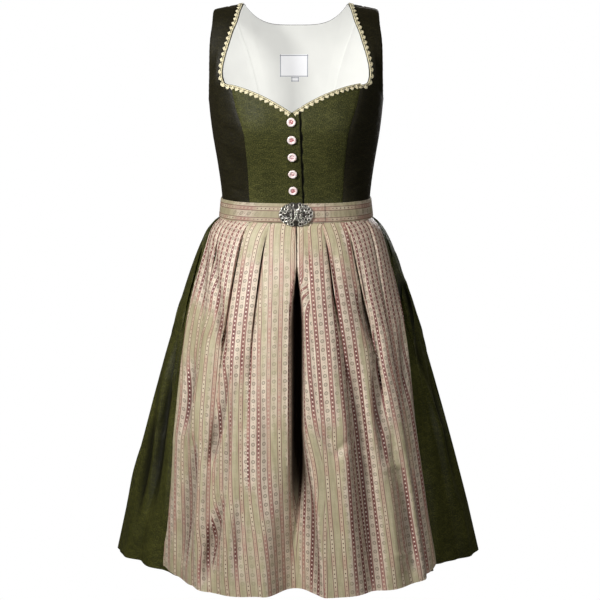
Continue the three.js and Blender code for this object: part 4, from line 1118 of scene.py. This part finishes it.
def apron():
    """The skirt's surface moved out, with lower creases of its own. Its stripes run on from the
    pressed edge of each fold, so that they don't bend in the pleats' depth."""
    per_line = 24
    u = columns_between("apron_right", "apron_left", per_line)[None]
    v = rows_up(HEM_Z, SKIRT[1, 0] + 0.0002, 130)[:, None]
    base, tight = skirt_surface(u, v)
    right, left = u - pleat_number["apron_right"], pleat_number["apron_left"] - u
    corner = CORNER_RISE_RIGHT * np.exp(-4 * right**2) + CORNER_RISE_LEFT * np.exp(-4 * left**2)
    base[..., 2] += corner * smooth(v - len(SKIRT) + 2)
    normals = grid_normals(base)
    outer = creased(base + normals * APRON_LIFT, normals, APRON_CREASES, -1)
    normals = grid_normals(outer)
    inner = outer - normals * APRON_WALL
    run, up = lengths(outer, 1), lengths(outer, 0)
    rows, cols = run.shape
    cell_row, cell_col = np.divmod(np.arange((rows - 1) * (cols - 1)), cols - 1)
    fold = cell_col // per_line
    centre = pleat_number["centre_pleat"] - pleat_number["apron_right"]
    past = np.where(np.abs(fold + 0.5 - centre) < 1, BOX_EDGE, KNIFE_EDGE)
    fixed = np.where(fold < centre, (fold + 1) * per_line - past, fold * per_line + past)
    corner_rows = cell_row[:, None] + [0, 0, 1, 1]
    corner_cols = cell_col[:, None] + [0, 1, 1, 0]
    far_down = np.where(fold < centre, *GATHERS_DOWN)[:, None]
    at_side = ((fold < 2) | (fold > fold[-1] - 2))[:, None]
    share_down = (BAND_BOTTOM_Z - outer[corner_rows, corner_cols, 2]) / far_down
    fine = 1 + GATHERED * at_side * (1 - smooth(share_down))
    across = run[corner_rows, corner_cols] - run[corner_rows, fixed[:, None]]
    across = across * fine + run[0, fixed][:, None]
    corner_uv = np.stack([across, up[corner_rows, corner_cols]], -1)
    made = closed_wall("apron_cloth", outer, inner, np.stack([run, up], -1), [apron_cloth], corner_uv)
    here = outer[..., [0, 2]] + 0.003 * np.sin(5.3 * u + 31 * outer[..., 2])[..., None]
    # Listed zones where the cloth turns from the light are painted rose, its shot face in shade, and some are
    # painted darker: painted shade.
    level, shade = np.full(run.shape, 0.10), np.zeros(run.shape)
    for *segment, how_rose, how_dark in ROSE_FACE:
        x0, z0, x1, z1, wide = np.divide(segment, 1000)
        start, way = np.array([x0, z0]), np.array([x1 - x0, z1 - z0])
        way = way / np.linalg.norm(way)
        along = (here - start) @ way
        past = np.maximum(-along, along - np.hypot(x1 - x0, z1 - z0))
        away = np.abs((here - start) @ (way[::-1] * [1, -1]))
        inside = (1 - smooth((away - wide + 0.010) / 0.020)) * (1 - smooth((past + 0.035) / 0.07))
        level = np.maximum(level, how_rose * inside)
        shade = np.maximum(shade, how_dark * inside)
    # In a crease the cloth is painted rose and darker: painted shade.
    pressed = ((outer - base) * normals).sum(-1) - APRON_LIFT
    in_crease = np.clip(-pressed / 0.006, 0, 1)
    level = level + 0.6 * in_crease
    # Where the cloth turns sideways from the smooth skirt, away from the light, it is painted rose.
    smooth_way = np.stack([outer[..., 0] / 0.3**2, outer[..., 1] / 0.22**2], -1)
    smooth_way /= np.linalg.norm(smooth_way, axis=-1, keepdims=True)
    turned = np.abs(normals[..., 0] * smooth_way[..., 1] - normals[..., 1] * smooth_way[..., 0])
    store(made, "rose", np.clip(level + 0.5 * smooth((turned - 0.25) / 0.35), 0, 1.2))
    # Painted shade: the apron is darker in the pleats' narrow folds, in creases and in the listed shaded
    # zones.
    store(made, "cavity", np.maximum(tight, np.maximum(shade, 0.42 * in_crease)))
    return made


apron_cloth = striped_satin("striped_satin")
dress_piece(apron(), "apron", ["skirt_front_cloth"])

# ---------------------------------------------------------------- waistband and its loops
# The apron's band is cut with its stripes lengthwise, folded double, and closes behind the clasp.
# A loop of the same strip, stitched down, holds each half of the clasp.
BAND_TOP = (0.1348, 0.1004, 0.096)
BAND_BOTTOM = (0.1385, 0.1039, 0.1009)
BAND_WALL, BAND_OPEN, BAND_STRIPE_SHIFT = 0.0016, math.radians(0.5), 0.0133
LOOP_NEAR, LOOP_FAR, LOOP_WALL, LOOP_LIFT = 0.016, 0.049, 0.0012, 0.0015
band_cloth = striped_satin("striped_satin_lengthwise", False)


def band_face(angle, share):
    """The band's outer face, at an angle and a share of its height from the bottom."""
    half, front, back = (low + (high - low) * share for low, high in zip(BAND_BOTTOM, BAND_TOP))
    x, y = ring(angle, half, front, back, TORSO_SQUARE)
    return np.stack([x, y, BAND_BOTTOM_Z + (BAND_TOP_Z - BAND_BOTTOM_Z) * share + 0 * x], -1)


def band_strip(name, angle, share, lift, wall, pucker):
    """A stretch of the band, its long edges rolled in, with small irregular puckers."""
    face = band_face(angle, share)
    normals = grid_normals(face)
    tall = BAND_TOP_Z - BAND_BOTTOM_Z
    edge = np.minimum(share - share[0], share[-1] - share) * tall
    lift = lift - 0.0007 * np.exp(-((edge / 0.0012) ** 2))
    lift = lift + pucker * np.sin(angle * 61 + 3 * share) * np.sin(angle * 23 + 1)
    outer = face + normals * lift[..., None]
    inner = outer - normals * wall
    uv = np.stack([lengths(face, 1), BAND_STRIPE_SHIFT + tall * (1 - share) + 0 * angle], -1)
    made = closed_wall(name, outer, inner, uv, [band_cloth])
    store(made, "rose", 0.35 + 0.3 * np.sin(angle * 7) + 0 * share)
    # Painted shade: the whole band and its loops are darkened evenly.
    store(made, "cavity", 0.36 + 0 * angle + 0 * share)
    return made


band_share = np.linspace(0, 1, 15)[:, None]
all_round = np.linspace(BAND_OPEN, math.tau - BAND_OPEN, 361)[None]
waistband = band_strip("waistband_cloth", all_round, band_share, 0.0, BAND_WALL, 0.0003)
dress_piece(waistband, "apron_band", ["front_right_cloth"])
for node, side in (("loop_right", -1), ("loop_left", 1)):
    x = np.linspace(LOOP_NEAR, LOOP_FAR, 25)[::side]
    angle = side * np.arcsin((x / BAND_TOP[0]) ** (TORSO_SQUARE / 2))[None]
    loop = band_strip(node + "_cloth", angle, 0.02 + 0.96 * band_share, LOOP_LIFT, LOOP_WALL, 0.0)
    dress_piece(loop, node, ["waistband_cloth"])

# ---------------------------------------------------------------- clasp
# Two cast halves, hooked together behind: filigree of rings, scrolls, leaves and beads on a
# blackened plate. Sizes are in mm from the clasp's middle, as (out to the side, up, rise).
CLASP_Z, CLASP_HALF, CLASP_TALL, CLASP_BASE, CLASP_DOME = -0.3605, 29.5, 42, 1.6, 2.6
CLASP_SEAT = BAND_TOP[1] + LOOP_WALL + 0.00075
CLASP_LEAN = (BAND_BOTTOM[1] - BAND_TOP[1]) / (BAND_TOP_Z - BAND_BOTTOM_Z)
RIM_RINGS, RING_RADIUS, RING_WIRE = 8, 2.9, 0.85


def plate_rise(x, z):
    """The plate's height: its base and a dome that falls with the square of the distance."""
    far = (x / CLASP_HALF) ** 2 + (2 * z / CLASP_TALL) ** 2
    return CLASP_BASE + CLASP_DOME * np.clip(1 - far, 0, 1)


def on_band(points, side):
    """Clasp sizes in mm to places in metres, on the leaning face of the band."""
    x, z, rise = np.moveaxis(np.asarray(points, float), -1, 0) / 1000
    z = CLASP_Z + z
    return np.stack([side * x, -(CLASP_SEAT + CLASP_LEAN * (BAND_TOP_Z - z) + rise), z], -1)


def wire(path, radius, closed=False, sides=8):
    """Points and faces of a round wire along (side, up) points that stands on the plate."""
    path = np.asarray(path, float)
    radius = np.broadcast_to(radius, len(path))
    run = np.roll(path, -1, 0) - np.roll(path, 1, 0) if closed else np.gradient(path, axis=0)
    run /= np.linalg.norm(run, axis=1, keepdims=True)
    across = np.stack([run[:, 1], -run[:, 0]], -1)
    turn = np.linspace(0, math.tau, sides, endpoint=False)
    out = path[:, None] + radius[:, None, None] * np.cos(turn)[None, :, None] * across[:, None]
    rise = plate_rise(*path.T)[:, None] + radius[:, None] * (0.5 + np.sin(turn)[None])
    points = np.concatenate([out, rise[..., None]], -1)
    return points.reshape(-1, 3), round_faces(len(path), sides, joined=closed)


def bead(x, z, radius, sides=10, rings=6):
    """Points and faces of a small sphere that stands on the plate."""
    turn = np.linspace(0, math.tau, sides, endpoint=False)[None]
    fall = np.linspace(0.08, math.pi - 0.08, rings)[:, None]
    round_points = [np.sin(fall) * np.cos(turn), np.sin(fall) * np.sin(turn), np.cos(fall) + 0 * turn]
    points = radius * np.stack(round_points, -1) + [x, z, plate_rise(x, z) + 0.5 * radius]
    return points.reshape(-1, 3), round_faces(rings, sides)


def spiral(x, z, start, end, first, last, count=36):
    """A scroll round (x, z): its radius shrinks evenly as it turns from one angle to another."""
    turn = np.radians(np.linspace(first, last, count))
    radius = np.linspace(start, end, count)
    return np.stack([x + radius * np.cos(turn), z + radius * np.sin(turn)], -1)


def bow(start, pull_start, pull_end, end, count=22):
    """A cubic Bezier curve."""
    t = np.linspace(0, 1, count)[:, None]
    start, pull_start, pull_end, end = (np.array(p, float) for p in (start, pull_start, pull_end, end))
    pulls = 3 * t * (1 - t) * ((1 - t) * pull_start + t * pull_end)
    return (1 - t) ** 3 * start + pulls + t**3 * end


def filigree():
    """Every wire, leaf and bead of one half, as (points, faces) pairs."""
    made = []
    for turn in np.radians(np.linspace(-76, 76, RIM_RINGS)):
        x, z = 25.2 * math.cos(turn), 17.2 * math.sin(turn)
        made.append(wire(spiral(x + 1.2, z, RING_RADIUS, RING_RADIUS, 0, 345, 24), RING_WIRE, closed=True))
        made.append(bead(x * 0.80 + 0.6, z * 0.74, 0.9))
    for turn in np.radians(np.linspace(-65, 65, RIM_RINGS - 1)):
        made.append(bead(28.6 * math.cos(turn) + 0.6, 20.0 * math.sin(turn), 1.05))
    for up in (1, -1):
        made.append(wire(spiral(11.5, 7.4 * up, 4.6, 1.0, 210 * up, -300 * up), np.linspace(1.0, 0.6, 36)))
        made.append(wire(spiral(19.4, 4.2 * up, 3.2, 0.8, 120 * up, 560 * up), np.linspace(0.85, 0.5, 36)))
        made.append(wire(bow((2.6, 2 * up), (2.6, 9 * up), (4, 13 * up), (8.5, 13.2 * up)), 0.85))
        made.append(wire(bow((3.2, 17.4 * up), (5.6, 15 * up), (6.6, 11 * up), (3.4, 8 * up)), 0.8))
        leaf = 0.4 + 1.3 * np.sin(np.linspace(0, math.pi, 22)) ** 0.8
        made.append(wire(bow((9, 12.2 * up), (12, 15 * up), (15, 13.5 * up), (18, 9.6 * up)), leaf))
        made.append(wire(bow((6.2, 3.0 * up), (8, 6 * up), (9, 7 * up), (7.5, 10.6 * up)), leaf * 0.8))
    for turn in np.radians(np.arange(0, 360, 60)):
        made.append(bead(8.8 + 2.5 * math.cos(turn), 2.5 * math.sin(turn), 1.15))
    made.append(bead(8.8, 0, 1.7))
    knuckles = 1.0 + 0.35 * np.abs(np.sin(np.linspace(0, 5 * math.pi, 61)))
    made.append(wire(np.stack([np.full(61, 1.75), np.linspace(-10, 10, 61)], -1), knuckles))
    return made


def clasp_half(node, side):
    """Half an ellipse with a scalloped edge, as a plate, and the filigree on it as one mesh."""
    turn = np.radians(np.linspace(-90, 90, 81))[None]
    share = np.linspace(0.02, 1, 14)[:, None]
    edge = share * (1 + 0.04 * np.cos(14 * turn) * share)
    x = 0.15 + CLASP_HALF * 0.97 * edge * np.cos(turn)
    z = CLASP_TALL / 2 * 0.97 * edge * np.sin(turn)
    outer = on_band(np.stack([x, z, plate_rise(x, z) - 0.3], -1), side)
    inner = on_band(np.stack([x, z, 0 * x], -1), side)
    uv = np.stack([x, z], -1) / 1000
    if side < 0:
        outer, inner, uv = outer[:, ::-1], inner[:, ::-1], uv[:, ::-1]
    plate = closed_wall(node + "_plate", outer, inner, uv, [blackened])
    points, faces, start = [], [], 0
    for more_points, more_faces in filigree():
        points.append(on_band(more_points, side))
        faces += [[start + i for i in (face[::-1] if side > 0 else face)] for face in more_faces]
        start += len(more_points)
    mesh = bpy.data.meshes.new(node + "_filigree")
    mesh.from_pydata(np.vstack(points), [], faces)
    for made in (plate, placed(mesh, [silver])):
        dress_piece(made, node)


black = {"Base_Color": (0.045, 0.040, 0.034), "Roughness": 0.5, "Metallic": 0.7}
blackened, shader, start = material("blackened_silver", **black)
silver, shader, start = material("antique_silver", Metallic=1.0, Roughness=0.30)
tarnish = noise(object_place(start), 420, 2).clipped(0.35, 0.6)
feed(tarnish.mixed((0.24, 0.22, 0.19), (0.74, 0.71, 0.65)), shader, "Base Color")
clasp_half("clasp_right", -1)
clasp_half("clasp_left", 1)

# ---------------------------------------------------------------- studio
# The camera stands level with the shoulders and looks down. Soft boxes light the dress from the
# upper left, the right and behind, in front of a plain white surround.
CAMERA_PLACE, CAMERA_PITCH = (0.007, -3.0, 0.007), 10.15
camera = bpy.data.objects.new("camera", bpy.data.cameras.new("camera"))
camera.data.lens = 100.74
camera.data.sensor_width = 36
camera.location = CAMERA_PLACE
camera.rotation_euler = (math.radians(90 - CAMERA_PITCH), 0, 0)
bpy.context.scene.collection.objects.link(camera)
bpy.context.scene.camera = camera


def softbox(name, place, aim, size, power, spread):
    """A rectangular light, turned so that its face looks from its place to its aim."""
    light = bpy.data.lights.new(name, "AREA")
    light.shape = "RECTANGLE"
    light.size, light.size_y = size
    light.energy = power
    light.spread = math.radians(spread)
    made = bpy.data.objects.new(name, light)
    made.location = place
    x, y, z = (a - p for a, p in zip(aim, place))
    made.rotation_euler = (math.atan2(math.hypot(x, y), -z), 0, math.atan2(-x, y))
    bpy.context.scene.collection.objects.link(made)


softbox("key", (-1.35, -1.60, 0.55), (0, 0, -0.24), (0.35, 0.35), 20.5, 105)
softbox("fill", (1.3, -2.2, 0.1), (0, 0, -0.50), (0.9, 1.2), 13, 140)
softbox("rear", (0.9, 2.7, 0.4), (0, 0, -0.45), (1.0, 1.4), 26, 150)


def surround(radius, columns, rows):
    """A sphere seen from inside: x and y go round at the sine of the polar angle, z is its cosine."""
    turn = np.linspace(0, math.tau, columns, endpoint=False)[None]
    fall = np.linspace(0.001, math.pi - 0.001, rows)[:, None]
    points = np.stack([np.sin(fall) * np.cos(turn), np.sin(fall) * np.sin(turn), np.cos(fall) + 0 * turn], -1)
    faces = [face[::-1] for face in round_faces(rows, columns, capped=False)]
    mesh = bpy.data.meshes.new("surround")
    mesh.from_pydata(radius * points.reshape(-1, 3), [], faces)
    return mesh


white, shader, start = material("white_surround", Base_Color=(0, 0, 0), Roughness=1.0, Specular_IOR_Level=0.0)
shader.inputs["Emission Color"].default_value = (1, 1, 1, 1)
shader.inputs["Emission Strength"].default_value = 1.0
backdrop = placed(surround(14, 48, 24), [white])
for ray in ("diffuse", "glossy", "transmission", "shadow"):
    setattr(backdrop, "visible_" + ray, False)

world = bpy.data.worlds.new("world")
world.use_nodes = True
world.node_tree.nodes["Background"].inputs["Color"].default_value = (1, 1, 1, 1)
world.node_tree.nodes["Background"].inputs["Strength"].default_value = 0.03
bpy.context.scene.world = world
bpy.context.scene.view_settings.view_transform = "Standard"
